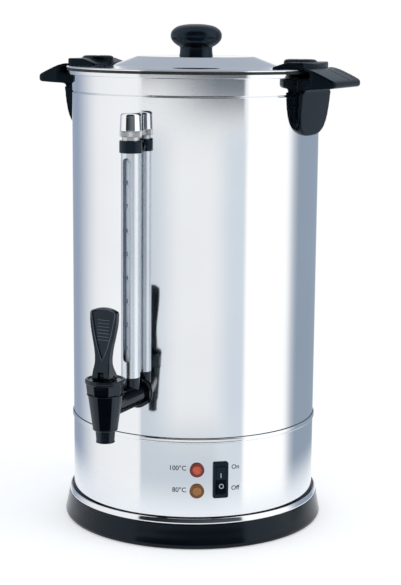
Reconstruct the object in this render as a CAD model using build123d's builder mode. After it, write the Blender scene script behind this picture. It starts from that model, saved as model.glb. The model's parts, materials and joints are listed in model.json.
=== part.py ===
"""Electric hot water urn: a lidded steel tank on a black foot ring, with a tap and a sight gauge.

Frame: millimetres, +Z up, origin on the floor under the middle of the tank.
The tap and the gauge point along -Y, the two handles along +X and -X, the mains inlet along +Y.
An azimuth is an angle about Z measured from the tap (-Y) towards the +X handle.
"""
from build123d import *
import os
from math import cos, radians, sin

os.makedirs("parts", exist_ok=True)

# ---------------------------------------------------------------- driving dimensions
# General fits
seat_gap = 0.05           # between a pressed or screwed-in piece and its bore
run_gap = 0.3             # between pieces that move past each other

# Tank and its skirt
body_r = 125.0            # outside of the steel skin
skin = 0.8                # sheet thickness
skirt_bottom = 22.0       # lower edge of the control band, inside the foot ring
seam_z = 105.0            # underside of the swaged bead where tank meets control band
bead_h = 5.0
bead_out = 1.2            # how far that bead stands out
tank_h = 354.0            # from the seam up to the centre of the rolled rim
rim_roll_r = 2.0
groove_drop = 20.1        # pressed line below the rim
groove_half = 1.0
groove_depth = 0.9
floor_rise = 11.0         # tank floor above the seam
floor_t = 1.2
floor_flange_h = 8.0

# Foot ring, trim, bottom plate
ring_out = 8.9            # widest line of the ring beyond the skin
ring_widest_up = 3.8      # height of that line above the ring's lower edge
ring_mid_out = 6.0        # the same, half way up
ring_top_out = 4.9
ring_edge_out = 5.9       # the ring's lower edge beyond the skin
ring_h = 25.0
ring_wall = 2.5
ring_lip_t = 2.0
ring_lip_h = 2.5
ring_shelf_w = 21.0
ring_shelf_t = 3.0
trim_h = 5.0
trim_t = 2.2
plate_out = 2.0           # bottom plate beyond the skin
plate_z = 6.0
plate_t = 1.2
foot_r = 10.0
foot_inset = 13.0         # circle of the feet inside the skin
foot_pocket = 3.0
foot_boss_r = 4.5
foot_screw_r = 1.5
foot_screw_l = 12.0
foot_screw_head_r = 3.6
foot_screw_head_h = 2.2
vent_w = 4.0
vent_l = 18.0
vent_rows = ((35.0, 8), (62.0, 12))     # radius and number of slots
rod_r = 2.0
nut_af = 7.0
nut_h = 3.2
thread_end = 1.8          # thread that shows past a nut

# Lid
lid_over = 5.7            # lid's edge beyond the skin
lid_sheet = 0.8
lid_plateau_r = 60.5
lid_cone_r = 86.0
lid_rise = 15.0           # plateau above the rim's centre
lid_flange_rise = 1.2     # from the lid's edge in to the foot of its cone
lid_hem_h = 2.4
lid_turn = 1.5            # half width of the soft folds in the lid
knob_r = 25.8
knob_neck_r = 16.6
knob_neck_h = 9.0
knob_h = 32.0
knob_bore_h = 14.0
knob_screw_r = 2.5
knob_screw_l = 13.0
knob_screw_head_r = 5.5
knob_screw_head_h = 3.0
seal_h = 8.0
seal_t = 3.0
seal_lead = 1.6           # bevel at the seal's lower edge
lug_len = 33.7            # lugs, from the lid's edge inwards
lug_slope_len = 15.0
lug_half_w = 35.0
lug_inner_h = 3.0
lug_h = 7.3
lug_corner_r = 4.0
lug_boss_r = 15.5
lug_boss_rise = 1.8
lug_boss_inset = 17.7
lug_recess_r = 4.8
lug_recess_depth = 2.2
lug_screw_pitch = 15.0
lug_screw_r = 2.0
lug_screw_head_r = 3.6
lug_screw_head_h = 1.6

# Handles
handle_half_w = 38.0
tongue_drop = 60.0        # lower end of the tongue below the rim's centre
root_drop = 19.0          # where the tongue turns out into the grip
grip_under_drop = 13.5
grip_top_rise = 6.5
handle_out = 38.5         # grip's nose beyond the skin
tongue_top_out = 5.8
tongue_mid_out = 2.1
tongue_low_out = 0.9
tongue_mid_rise = 16.0    # above the tongue's lower end
tongue_bend = 5.0
tongue_taper = 4.6        # how much narrower each side is where its end starts to round in
tongue_round_up = 20.0    # and that place above the lower end
tongue_toe_up = 5.2
grip_crown_out = 8.0
grip_corner_r = 6.0
grip_bow = 3.0            # how far the nose bows out between its corners
grip_chamfer = 13.0
finger_groove_w = 2.0
finger_groove_depth = 1.1
finger_groove_at = 9.0
lock_slot_drop = 3.0      # underside of the slot below the rim's centre
lock_slot_h = 5.4
lock_slot_out = 11.7
handle_screw_drop = 12.0
handle_screw_spread = 9.0 # degrees each side of the handle's middle
handle_screw_r = 2.0
handle_screw_l = 10.0
wall_screw_head_r = 4.0
wall_screw_head_h = 2.4

# Tap
tap_out = 66.0            # spout's axis beyond the skin
shank_rise = 37.0         # shank's axis above the tank floor
shank_r = 11.5
shank_bore = 5.0
thread_r = 7.0
thread_in = 14.0          # threaded tail inside the skin
flange_r = 14.5
flange_t = 2.0
washer_t = 2.0
washer_inset = 0.8
tap_nut_h = 6.0
cup_up = 12.5             # cup's top and bottom from the shank's axis
cup_down = 19.5
cup_top_r = 16.3
cup_low_r = 11.8
cup_wall = 2.6
spout_down = 33.0
spout_r = 8.6
spout_root_r = 9.4
spout_root_drop = 2.0
spout_lip = 0.3
spout_bore = 5.8
seat_rise = 3.5           # valve seat above the cup's bottom
neck_h = 9.9
bonnet_h = 15.3
bonnet_low_r = 16.7
bonnet_lip_r = 18.95
bonnet_lip_h = 5.0
bonnet_floor = 1.3        # the bonnet's top lies this far under its rim
bonnet_wall = 2.2
flutes = 14
flute_r = 1.6
stem_r = 2.2
valve_r = 7.5
valve_t = 3.6
valve_skirt = 1.2
hub_r = 3.9
hub_h = 5.0
spring_r = 4.6
spring_wire = 0.5
coils = 7
eye_wall = 1.3
eye_play = 0.8            # room above and below the pin in the stem's eye
pin_forward = 3.6         # how far the pin travels forwards in that eye
lever_h = 67.2            # top of the paddle above the bonnet
lever_half_w = 14.0
lever_waist_up = 16.7
lever_waist_half = 7.7
lever_waist_front = 6.3
lever_waist_back = 0.8
lever_top_front = 3.1
lever_top_back = 2.2
lever_top_round = 3.0
lever_flare_drop = 28.0   # where the paddle starts to widen, below its top
lever_base_half = 9.4
lever_base_front = 9.0
lever_base_back = 6.5
lever_pin_r = 1.3
lever_pin_up = 3.2        # pin above the bonnet's top
lever_slot_w = 6.0
lever_slot_h = 8.0
rim_w = 2.0
dish_depth = 1.3
dish_narrow_up = 17.0     # where the dish is half as wide, above the waist
ribs = 7
rib_pitch = 3.3
rib_w = 13.0
rib_h = 0.9
rib_out = 1.0

# Sight gauge
gauge_out = 15.5          # gauge's axis beyond the skin
gauge_tube_r = 9.1
gauge_tube_t = 1.2
gauge_tube_up = 19.0      # its lower end above the shank's axis
gauge_slot_w = 6.5
gauge_slot_end = 16.0     # from the tube's lower end up to the slot
gauge_slot_drop = 4.8     # from the collar down to the slot
glass_r = 5.0
glass_bore = 3.7
glass_seal_t = 2.0
glass_seal_w = 1.6
socket_depth = 12.0
water_way_r = 3.0
collar_drop = 72.2        # collar's lower edge below the rim's centre
collar_r = 10.8
collar_h = 11.7
collar_hold = 2.5         # how far the tube reaches into the collar
bracket_r = 4.5
bracket_pad_r = 7.0
bracket_pad_t = 1.6
bracket_screw_r = 2.0
bracket_screw_l = 4.5
gland_neck_r = 8.2
gland_neck_h = 3.5
gland_ring_h = 5.5
knurls = 30
knurl_r = 0.6
cap_r = 10.4
cap_h = 16.8
cap_round = 2.6

# Control panel
switch_az = 37.9
switch_drop = 36.8        # switch's middle below the seam
switch_w = 15.4
switch_h = 36.4
switch_proud = 2.2
switch_frame_w = 1.2      # bezel beyond the switch's body, at the sides and at the ends
switch_frame_end = 2.7
switch_depth = 24.0
recess_depth = 9.4
rocker_w = 9.3
rocker_r = 13.65          # half height of the rocker, and the radius of its ends
rocker_depth = 3.0        # pivot behind the face of the switch
rocker_swing = 20.0
rocker_hollow = 3.6       # from the pivot to the middle of the rocker's face
rocker_face = 5.4         # from the pivot to the ends of that face
rocker_heel = 4.5
rocker_pin_r = 1.2
blade_w = 0.8
blade_h = 6.3
blade_l = 8.5
lamp_az = 27.3
lamp_drops = (26.3, 47.6) # lamps below the seam
lamp_r = 7.2
lamp_wall = 1.4
lamp_lens_r = 4.6
lamp_proud = 1.8
lamp_depth = 17.0
lens_depth = 5.0
lens_proud = 0.2
neon_r = 2.4
neon_l = 9.0
inlet_az = 180.0
inlet_drop = 43.0
inlet_flange_w = 48.0
inlet_flange_h = 25.0
inlet_proud = 3.0
inlet_depth = 17.0
inlet_wall = 1.3
cavity_w = 24.4
cavity_h = 16.4
cavity_depth = 15.0
cavity_key = 3.0          # bevels that fit the plug one way round
pin_w = 2.0
pin_h = 4.0
pin_pitch = 14.0
pin_rise = 4.0
pin_back = 6.0
inlet_screw_pitch = 40.0
inlet_screw_r = 1.5
inlet_screw_l = 12.0
inlet_screw_head_r = 2.9
inlet_screw_head_h = 1.8

# Heating
spreader_r = 72.0
spreader_t = 6.0
boil_ring_r = 58.0        # middle line of the outer element
warm_ring_r = 38.0        # and of the inner one
element_r = 4.0
element_turn = 320.0      # degrees of ring that each element fills
element_leg = 14.0
element_pin_r = 1.6
element_pin_l = 8.0
clamp_t = 2.0
clamp_edge = 6.0
stud_r = 2.0
control_at = 13.0         # snap-disc controls each side of the middle
control_flange_r = 10.5
control_flange_t = 1.2
control_r = 8.0
control_h = 10.0
block_at = (-45.0, 45.0)
block_size = (48.0, 18.0, 12.0)
block_pitch = 11.0
block_ways = 4
turret_r = 3.8
turret_h = 4.0
turret_bore = 2.2
turret_bore_depth = 9.0
block_screw_r = 1.2
block_screw_l = 4.0
block_screw_head_r = 2.1
block_screw_head_h = 1.6

# ---------------------------------------------------------------- heights and radii that follow
tank_in_r = body_r - skin
rim_z = seam_z + tank_h
rim_top = rim_z + rim_roll_r
groove_z = rim_z - groove_drop
floor_z = seam_z + floor_rise
shell_low = seam_z + skin + 0.4
bead_top = seam_z + bead_h
ring_top = ring_h
shelf_top = skirt_bottom
shelf_low = shelf_top - ring_shelf_t
lip_in_r = body_r + run_gap
lip_out_r = lip_in_r + ring_lip_t
plate_r = body_r + plate_out
plate_top = plate_z + plate_t
foot_circle_r = body_r - foot_inset
feet_azimuths = (45, 135, 225, 315)
rod_azimuths = (0, 120, 240)
rod_circle_r = foot_circle_r

lid_r = body_r + lid_over
lid_under = rim_top + run_gap
flange_top = lid_under + lid_sheet
lid_plateau_z = rim_z + lid_rise
lug_in_r = lid_r - lug_len
lug_boss_at = lid_r - lug_boss_inset
lug_top = flange_top + lug_h
recess_z = lug_top + lug_boss_rise - lug_recess_depth
lug_screw_at = [lug_boss_at + side * lug_screw_pitch / 2 for side in (-1, 1)]
lug_sides = (90, -90)

handle_bottom = rim_z - tongue_drop
handle_root_z = rim_z - root_drop
handle_under_z = rim_z - grip_under_drop
handle_top_z = rim_z + grip_top_rise
handle_reach = body_r + handle_out
tongue_top_rho = body_r + tongue_top_out
lock_slot_z = rim_z - lock_slot_drop
lock_slot_rho = body_r + lock_slot_out
handle_screw_z = rim_z - handle_screw_drop
handle_screw_azimuths = [side + hand * handle_screw_spread for side in (90, -90) for hand in (-1, 1)]

tap_rho = body_r + tap_out
tap_y = -tap_rho
tap_axis_z = floor_z + shank_rise
thread_in_rho = body_r - thread_in
cup_top_z = tap_axis_z + cup_up
cup_low_z = tap_axis_z - cup_down
cup_in_r = cup_top_r - cup_wall - 1.4
spout_z = tap_axis_z - spout_down
seat_z = cup_low_z + seat_rise
neck_r = bonnet_low_r - bonnet_wall - 2 * seat_gap
neck_top = cup_top_z + neck_h
bonnet_top = cup_top_z + bonnet_h
bonnet_face = bonnet_top - bonnet_floor
valve_z = seat_z + run_gap
hub_low = valve_z + valve_t
spring_low = hub_low + spring_wire + run_gap
spring_top = neck_top - spring_wire - run_gap
lever_foot_z = bonnet_face + run_gap
lever_pin_z = bonnet_face + lever_pin_up
lever_waist_z = bonnet_top + lever_waist_up
lever_top_z = bonnet_top + lever_h
eye_slot_h = 2 * lever_pin_r + eye_play

gauge_rho = body_r + gauge_out
gauge_y = -gauge_rho
gauge_tube_low = tap_axis_z + gauge_tube_up
collar_low = rim_z - collar_drop
collar_top = collar_low + collar_h
gauge_tube_top = collar_low + collar_hold
gauge_slot_low = gauge_tube_low + gauge_slot_end
gauge_slot_top = collar_low - gauge_slot_drop
socket_r = gauge_tube_r - run_gap
socket_bore = glass_r + 0.5
socket_floor_z = gauge_tube_low - socket_depth
glass_top = collar_top + gland_neck_h
bracket_z = collar_low + collar_h / 2
gland_top = collar_top + gland_neck_h + gland_ring_h

panel_rho = body_r + switch_proud
pivot_rho = panel_rho - rocker_depth
switch_z = seam_z - switch_drop
switch_body_w = switch_w - 2 * switch_frame_w
switch_body_h = switch_h - 2 * switch_frame_end
lamp_z = [seam_z - drop for drop in lamp_drops]
lamp_stem_r = lamp_r - lamp_wall
inlet_z = seam_z - inlet_drop
inlet_body_w = cavity_w + 2 * inlet_wall
inlet_body_h = cavity_h + 2 * inlet_wall

element_z = floor_z - spreader_t
clamp_z = element_z - element_r - clamp_t
clamp_out_r = boil_ring_r + clamp_edge
clamp_in_r = warm_ring_r - clamp_edge
stud_circle_r = (boil_ring_r + warm_ring_r) / 2
stud_azimuths = (60, 180, 300)


def facing_out(azimuth, rho, height):
    """Plane whose normal points away from the urn's axis; its x runs to the right seen from outside."""
    turn = radians(azimuth)
    right = (cos(turn), sin(turn), 0)
    outward = (sin(turn), -cos(turn), 0)
    return Plane(origin=(rho * sin(turn), -rho * cos(turn), height), x_dir=right, z_dir=outward)


def side_on(azimuth):
    """Upright plane through the urn's axis; its x runs outwards at that azimuth and its y is up."""
    turn = radians(azimuth)
    return Plane(origin=(0, 0, 0), x_dir=(sin(turn), -cos(turn), 0), z_dir=(-cos(turn), -sin(turn), 0))


def polar(radius, azimuth):
    """X and Y of a point at an azimuth."""
    return radius * sin(radians(azimuth)), -radius * cos(radians(azimuth))


def save(piece, name):
    piece.part.label = name
    export_step(piece.part, f"parts/{name}.step")


# ================================================================ foot
# Black ring that the urn stands in: flared skirt, lip round the steel, shelf under the control band
ring_flare = [
    (body_r + ring_out, ring_widest_up),
    (body_r + ring_mid_out, 0.55 * ring_h),
    (body_r + ring_top_out, ring_top),
]
ring_edge = (body_r + ring_edge_out, 0)
ring_shoulder = (body_r + ring_out - 0.8, 0.3 * ring_widest_up)
with BuildPart() as base_ring:
    with BuildSketch(Plane.XZ):
        with BuildLine():
            ThreePointArc(ring_edge, ring_shoulder, ring_flare[0])
            ThreePointArc(*ring_flare)
            Polyline(
                ring_flare[2],
                (lip_out_r, ring_top),
                (lip_out_r, ring_top + ring_lip_h),
                (lip_in_r, ring_top + ring_lip_h),
                (lip_in_r, shelf_top),
                (lip_in_r - ring_shelf_w, shelf_top),
                (lip_in_r - ring_shelf_w, shelf_low),
                (ring_flare[2][0] - ring_wall, shelf_low),
                (ring_flare[0][0] - ring_wall, ring_widest_up),
                (ring_edge[0] - ring_wall, 0),
                ring_edge,
            )
        make_face()
    revolve(axis=Axis.Z)
    with BuildSketch(Plane.XY.offset(plate_top)):
        with Locations(*[polar(foot_circle_r, a) for a in feet_azimuths]):
            Circle(foot_boss_r)
    extrude(amount=shelf_low - plate_top)
    with Locations(*[(*polar(foot_circle_r, a), plate_top) for a in feet_azimuths]):
        Cylinder(foot_screw_r + seat_gap, shelf_low - plate_top, mode=Mode.SUBTRACT,
                 align=(Align.CENTER, Align.CENTER, Align.MIN))
    with Locations(*[(*polar(rod_circle_r, a), shelf_low) for a in rod_azimuths]):
        Cylinder(rod_r + seat_gap, ring_shelf_t, mode=Mode.SUBTRACT,
                 align=(Align.CENTER, Align.CENTER, Align.MIN))
save(base_ring, "base_ring")

# Bright steel strip round the ring's lip, its upper edge rolled
trim_in_r = lip_out_r + seat_gap
with BuildPart() as base_trim:
    with BuildSketch(Plane.XZ):
        with Locations((trim_in_r + trim_t / 2, ring_top + trim_h / 2)):
            trim_section = Rectangle(trim_t, trim_h)
        fillet(trim_section.vertices().group_by(Axis.Y)[-1], trim_t * 0.45)
    revolve(axis=Axis.Z)
save(base_trim, "base_trim")

# Bottom plate with rings of vent slots
with BuildPart() as base_plate:
    with BuildSketch(Plane.XY.offset(plate_z)):
        Circle(plate_r)
        with Locations(*[polar(foot_circle_r, a) for a in feet_azimuths]):
            Circle(foot_screw_r + run_gap, mode=Mode.SUBTRACT)
        for vent_r, vents in vent_rows:
            with PolarLocations(vent_r, vents):
                SlotOverall(vent_l, vent_w, mode=Mode.SUBTRACT)
    extrude(amount=plate_t)
save(base_plate, "base_plate")

# Rubber feet, level with the ring's lower edge, with a pocket for the screw that holds foot and plate to the ring
with BuildPart() as rubber_feet:
    with Locations(*[polar(foot_circle_r, a) for a in feet_azimuths]):
        Cylinder(foot_r, plate_z, align=(Align.CENTER, Align.CENTER, Align.MIN))
    chamfer(rubber_feet.edges().group_by(Axis.Z)[0], 1.0)
    with Locations(*[polar(foot_circle_r, a) for a in feet_azimuths]):
        Cylinder(foot_screw_r + run_gap, plate_z, mode=Mode.SUBTRACT,
                 align=(Align.CENTER, Align.CENTER, Align.MIN))
        Cylinder(foot_screw_head_r + 1.0, foot_pocket, mode=Mode.SUBTRACT,
                 align=(Align.CENTER, Align.CENTER, Align.MIN))
save(rubber_feet, "rubber_feet")


def cross_headed_screw(plane, shank, length, head, head_height):
    """Pan-head screw: its head stands on the plane's outer side, its shank runs back through it."""
    with BuildPart() as screw:
        with BuildSketch(plane):
            Circle(head)
        extrude(amount=head_height)
        fillet(screw.faces().sort_by(Axis(plane.origin, plane.z_dir))[-1].edges(), head_height * 0.4)
        with BuildSketch(plane):
            Circle(shank)
        extrude(amount=-length)
        with BuildSketch(plane.offset(head_height)):
            Rectangle(head * 1.2, head * 0.25)
            Rectangle(head * 0.25, head * 1.2)
        extrude(amount=-head_height * 0.5, mode=Mode.SUBTRACT)
    return screw


def screw_set(name, planes, shank, length, head, head_height):
    """Identical screws, one solid each, in one node."""
    screws = [cross_headed_screw(p, shank, length, head, head_height) for p in planes]
    with BuildPart() as group:
        for screw in screws:
            add(screw.part)
    save(group, name)


foot_screw_planes = [
    Plane(origin=(*polar(foot_circle_r, a), foot_pocket), x_dir=(1, 0, 0), z_dir=(0, 0, -1))
    for a in feet_azimuths
]
screw_set("base_screws", foot_screw_planes, foot_screw_r, foot_screw_l,
          foot_screw_head_r, foot_screw_head_h)

# ================================================================ control band and tank
with BuildPart() as control_band:
    with BuildSketch(Plane.XZ):
        with BuildLine():
            Polyline(
                (body_r, skirt_bottom),
                (body_r, seam_z),
                (body_r + bead_out * 0.7, seam_z + 0.3),
                (body_r + bead_out, seam_z + 1.2),
                (body_r + bead_out, bead_top - 0.3),
                (body_r + bead_out - 0.3, bead_top),
                (body_r + 2 * seat_gap, bead_top),
                (body_r + 2 * seat_gap, shell_low),
                (tank_in_r - 0.4, shell_low),
                (tank_in_r, seam_z),
                (tank_in_r, skirt_bottom),
                close=True,
            )
        make_face()
    revolve(axis=Axis.Z)
    with BuildSketch(facing_out(switch_az, body_r - 10, switch_z)):
        Rectangle(switch_body_w + 0.4, switch_body_h + 0.4)
    extrude(amount=20, mode=Mode.SUBTRACT)
    for lamp_height in lamp_z:
        with BuildSketch(facing_out(lamp_az, body_r - 10, lamp_height)):
            Circle(lamp_stem_r + 2 * seat_gap)
        extrude(amount=20, mode=Mode.SUBTRACT)
    with BuildSketch(facing_out(inlet_az, body_r - 10, inlet_z)):
        Rectangle(inlet_body_w + 0.4, inlet_body_h + 0.4)
        with GridLocations(inlet_screw_pitch, 1, 2, 1):
            Circle(inlet_screw_r + seat_gap)
    extrude(amount=20, mode=Mode.SUBTRACT)
save(control_band, "control_band")

# Tank wall: pressed groove near the top, rolled rim, holes for tap, gauge bracket and handles
with BuildPart() as tank_wall:
    with BuildSketch(Plane.XZ):
        with BuildLine():
            Line((body_r, shell_low), (body_r, groove_z - groove_half))
            ThreePointArc((body_r, groove_z - groove_half), (body_r - groove_depth, groove_z),
                          (body_r, groove_z + groove_half))
            Line((body_r, groove_z + groove_half), (body_r, rim_z))
            Line((body_r, rim_z), (tank_in_r, rim_z))
            Line((tank_in_r, rim_z), (tank_in_r, groove_z + groove_half))
            ThreePointArc((tank_in_r, groove_z + groove_half), (tank_in_r - groove_depth, groove_z),
                          (tank_in_r, groove_z - groove_half))
            Polyline((tank_in_r, groove_z - groove_half), (tank_in_r, shell_low), (body_r, shell_low))
        make_face()
        with Locations((tank_in_r + rim_roll_r, rim_z)):
            Circle(rim_roll_r)
    revolve(axis=Axis.Z)
    with BuildSketch(facing_out(0, body_r - 10, tap_axis_z)):
        Circle(thread_r + 2 * seat_gap)
    extrude(amount=20, mode=Mode.SUBTRACT)
    with BuildSketch(facing_out(0, body_r - 10, bracket_z)):
        Circle(bracket_screw_r + 2 * seat_gap)
    extrude(amount=20, mode=Mode.SUBTRACT)
    for screw_az in handle_screw_azimuths:
        with BuildSketch(facing_out(screw_az, body_r - 10, handle_screw_z)):
            Circle(handle_screw_r + 2 * seat_gap)
        extrude(amount=20, mode=Mode.SUBTRACT)
save(tank_wall, "tank_wall")

# Tank floor, a shallow pan pressed into the tank wall
floor_r = tank_in_r - seat_gap
with BuildPart() as tank_floor:
    with BuildSketch(Plane.XZ):
        with BuildLine():
            Polyline(
                (0, floor_z),
                (floor_r, floor_z),
                (floor_r, floor_z + floor_flange_h),
                (floor_r - floor_t, floor_z + floor_flange_h),
                (floor_r - floor_t, floor_z + floor_t),
                (0, floor_z + floor_t),
                close=True,
            )
        make_face()
    revolve(axis=Axis.Z)
    fillet(tank_floor.edges().filter_by(GeomType.CIRCLE).group_by(Axis.Z)[0], 0.4 * floor_t)
save(tank_floor, "tank_floor")

# Long rods that tie the tank floor down to the foot ring
rod_low = shelf_low - nut_h - thread_end
with BuildPart() as tie_rods:
    with Locations(*[(*polar(rod_circle_r, a), rod_low) for a in rod_azimuths]):
        Cylinder(rod_r, floor_z - rod_low, align=(Align.CENTER, Align.CENTER, Align.MIN))
save(tie_rods, "tie_rods")

# ================================================================ heating
# Aluminium heat spreader under the tank floor, with a round-bottomed groove for each element
with BuildPart() as heat_spreader:
    with BuildSketch(Plane.XY.offset(element_z)):
        Circle(spreader_r)
        with Locations(*[polar(stud_circle_r, a) for a in stud_azimuths]):
            Circle(stud_r + 2 * seat_gap, mode=Mode.SUBTRACT)
    extrude(amount=spreader_t)
    for ring_r in (boil_ring_r, warm_ring_r):
        with BuildSketch(Plane.XZ):
            with Locations((ring_r, element_z)):
                Circle(element_r + seat_gap)
        revolve(axis=Axis.Z, mode=Mode.SUBTRACT)
save(heat_spreader, "heat_spreader")

# Two sheathed ring elements; the outer one boils, the inner one keeps the water hot
leg_low = element_z - element_leg
pin_low = leg_low - element_pin_l


def ring_element(ring_r):
    """Partial ring with two cold legs and terminal pins pointing down."""
    with BuildPart() as element:
        with BuildSketch(Plane.XZ):
            with Locations((ring_r, element_z)):
                Circle(element_r)
        revolve(axis=Axis.Z, revolution_arc=element_turn)
        leg_places = [(ring_r, 0), (ring_r * cos(radians(element_turn)), ring_r * sin(radians(element_turn)))]
        with Locations(*[(x, y, leg_low) for x, y in leg_places]):
            Cylinder(element_r, element_z - leg_low, align=(Align.CENTER, Align.CENTER, Align.MIN))
        with Locations(*[(x, y, pin_low) for x, y in leg_places]):
            Cylinder(element_pin_r, leg_low - pin_low, align=(Align.CENTER, Align.CENTER, Align.MIN))
    return element, leg_places


boil_element, boil_legs = ring_element(boil_ring_r)
save(boil_element, "boil_element")
keep_warm_element, warm_legs = ring_element(warm_ring_r)
save(keep_warm_element, "keep_warm_element")

# Ring-shaped clamp under both elements, on studs welded to the tank floor
with BuildPart() as element_clamp:
    with BuildSketch(Plane.XY.offset(clamp_z)):
        Circle(clamp_out_r)
        Circle(clamp_in_r, mode=Mode.SUBTRACT)
        with Locations(*[polar(stud_circle_r, a) for a in stud_azimuths]):
            Circle(stud_r + 2 * seat_gap, mode=Mode.SUBTRACT)
        with Locations(*boil_legs, *warm_legs):
            Circle(element_r + 0.5, mode=Mode.SUBTRACT)
    extrude(amount=clamp_t)
save(element_clamp, "element_clamp")

stud_low = clamp_z - nut_h - thread_end
with BuildPart() as clamp_studs:
    with Locations(*[(*polar(stud_circle_r, a), stud_low) for a in stud_azimuths]):
        Cylinder(stud_r, floor_z - stud_low, align=(Align.CENTER, Align.CENTER, Align.MIN))
save(clamp_studs, "clamp_studs")

# Nuts under the clamp and under the foot ring's shelf
with BuildPart() as hex_nuts:
    for circle_r, azimuths, under, thread in (
        (stud_circle_r, stud_azimuths, clamp_z, stud_r),
        (rod_circle_r, rod_azimuths, shelf_low, rod_r),
    ):
        with BuildSketch(Plane.XY.offset(under)):
            with Locations(*[polar(circle_r, a) for a in azimuths]):
                RegularPolygon(nut_af / 2, 6, major_radius=False)
                Circle(thread + seat_gap, mode=Mode.SUBTRACT)
        extrude(amount=-nut_h)
save(hex_nuts, "hex_nuts")


def disc_control(at_x):
    """Snap-disc control with a mounting flange against the heat spreader and two blade tabs."""
    flange_low = element_z - control_flange_t
    with BuildPart() as control:
        with BuildSketch(Plane.XY.offset(element_z)):
            with Locations((at_x, 0)):
                Circle(control_flange_r)
        extrude(amount=-control_flange_t)
        with BuildSketch(Plane.XY.offset(flange_low)):
            with Locations((at_x, 0)):
                Circle(control_r)
        extrude(amount=-control_h)
        with Locations((at_x, 0, flange_low - control_h)):
            with GridLocations(1.1 * control_r, 1, 2, 1):
                Box(blade_w, blade_h, blade_l, align=(Align.CENTER, Align.CENTER, Align.MAX))
    return control


thermostat = disc_control(-control_at)
save(thermostat, "thermostat")
thermal_cutout = disc_control(control_at)
save(thermal_cutout, "thermal_cutout")

# Screw terminal block on the bottom plate
block_top = plate_top + block_size[2]
turret_top = block_top + turret_h
with BuildPart() as terminal_block:
    with BuildSketch(Plane.XY.offset(plate_top)):
        with Locations(block_at):
            RectangleRounded(block_size[0], block_size[1], 2.0)
    extrude(amount=block_size[2])
    with BuildSketch(Plane.XY.offset(block_top)):
        with Locations(block_at):
            with GridLocations(block_pitch, 1, block_ways, 1):
                Circle(turret_r)
    extrude(amount=turret_h)
    with BuildSketch(Plane.XY.offset(turret_top)):
        with Locations(block_at):
            with GridLocations(block_pitch, 1, block_ways, 1):
                Circle(turret_bore)
    extrude(amount=-turret_bore_depth, mode=Mode.SUBTRACT)
save(terminal_block, "terminal_block")

block_screw_z = turret_top - turret_bore_depth + block_screw_l
terminal_screw_planes = [
    Plane(origin=(block_at[0] + block_pitch * (way - (block_ways - 1) / 2), block_at[1], block_screw_z),
          x_dir=(1, 0, 0), z_dir=(0, 0, 1))
    for way in range(block_ways)
]
screw_set("terminal_screws", terminal_screw_planes, block_screw_r, block_screw_l,
          block_screw_head_r, block_screw_head_h)

# ================================================================ handles
handle_in = body_r - 12.0     # blank that is later cut back to the tank's curve
nose_low_z = handle_under_z + 1.0
nose_mid_z = handle_under_z + 4.8
nose_top_z = handle_under_z + 8.4
nose_in = handle_reach - 5.0
crown_mid = (handle_reach - 17.0, handle_top_z - 4.8)


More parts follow.
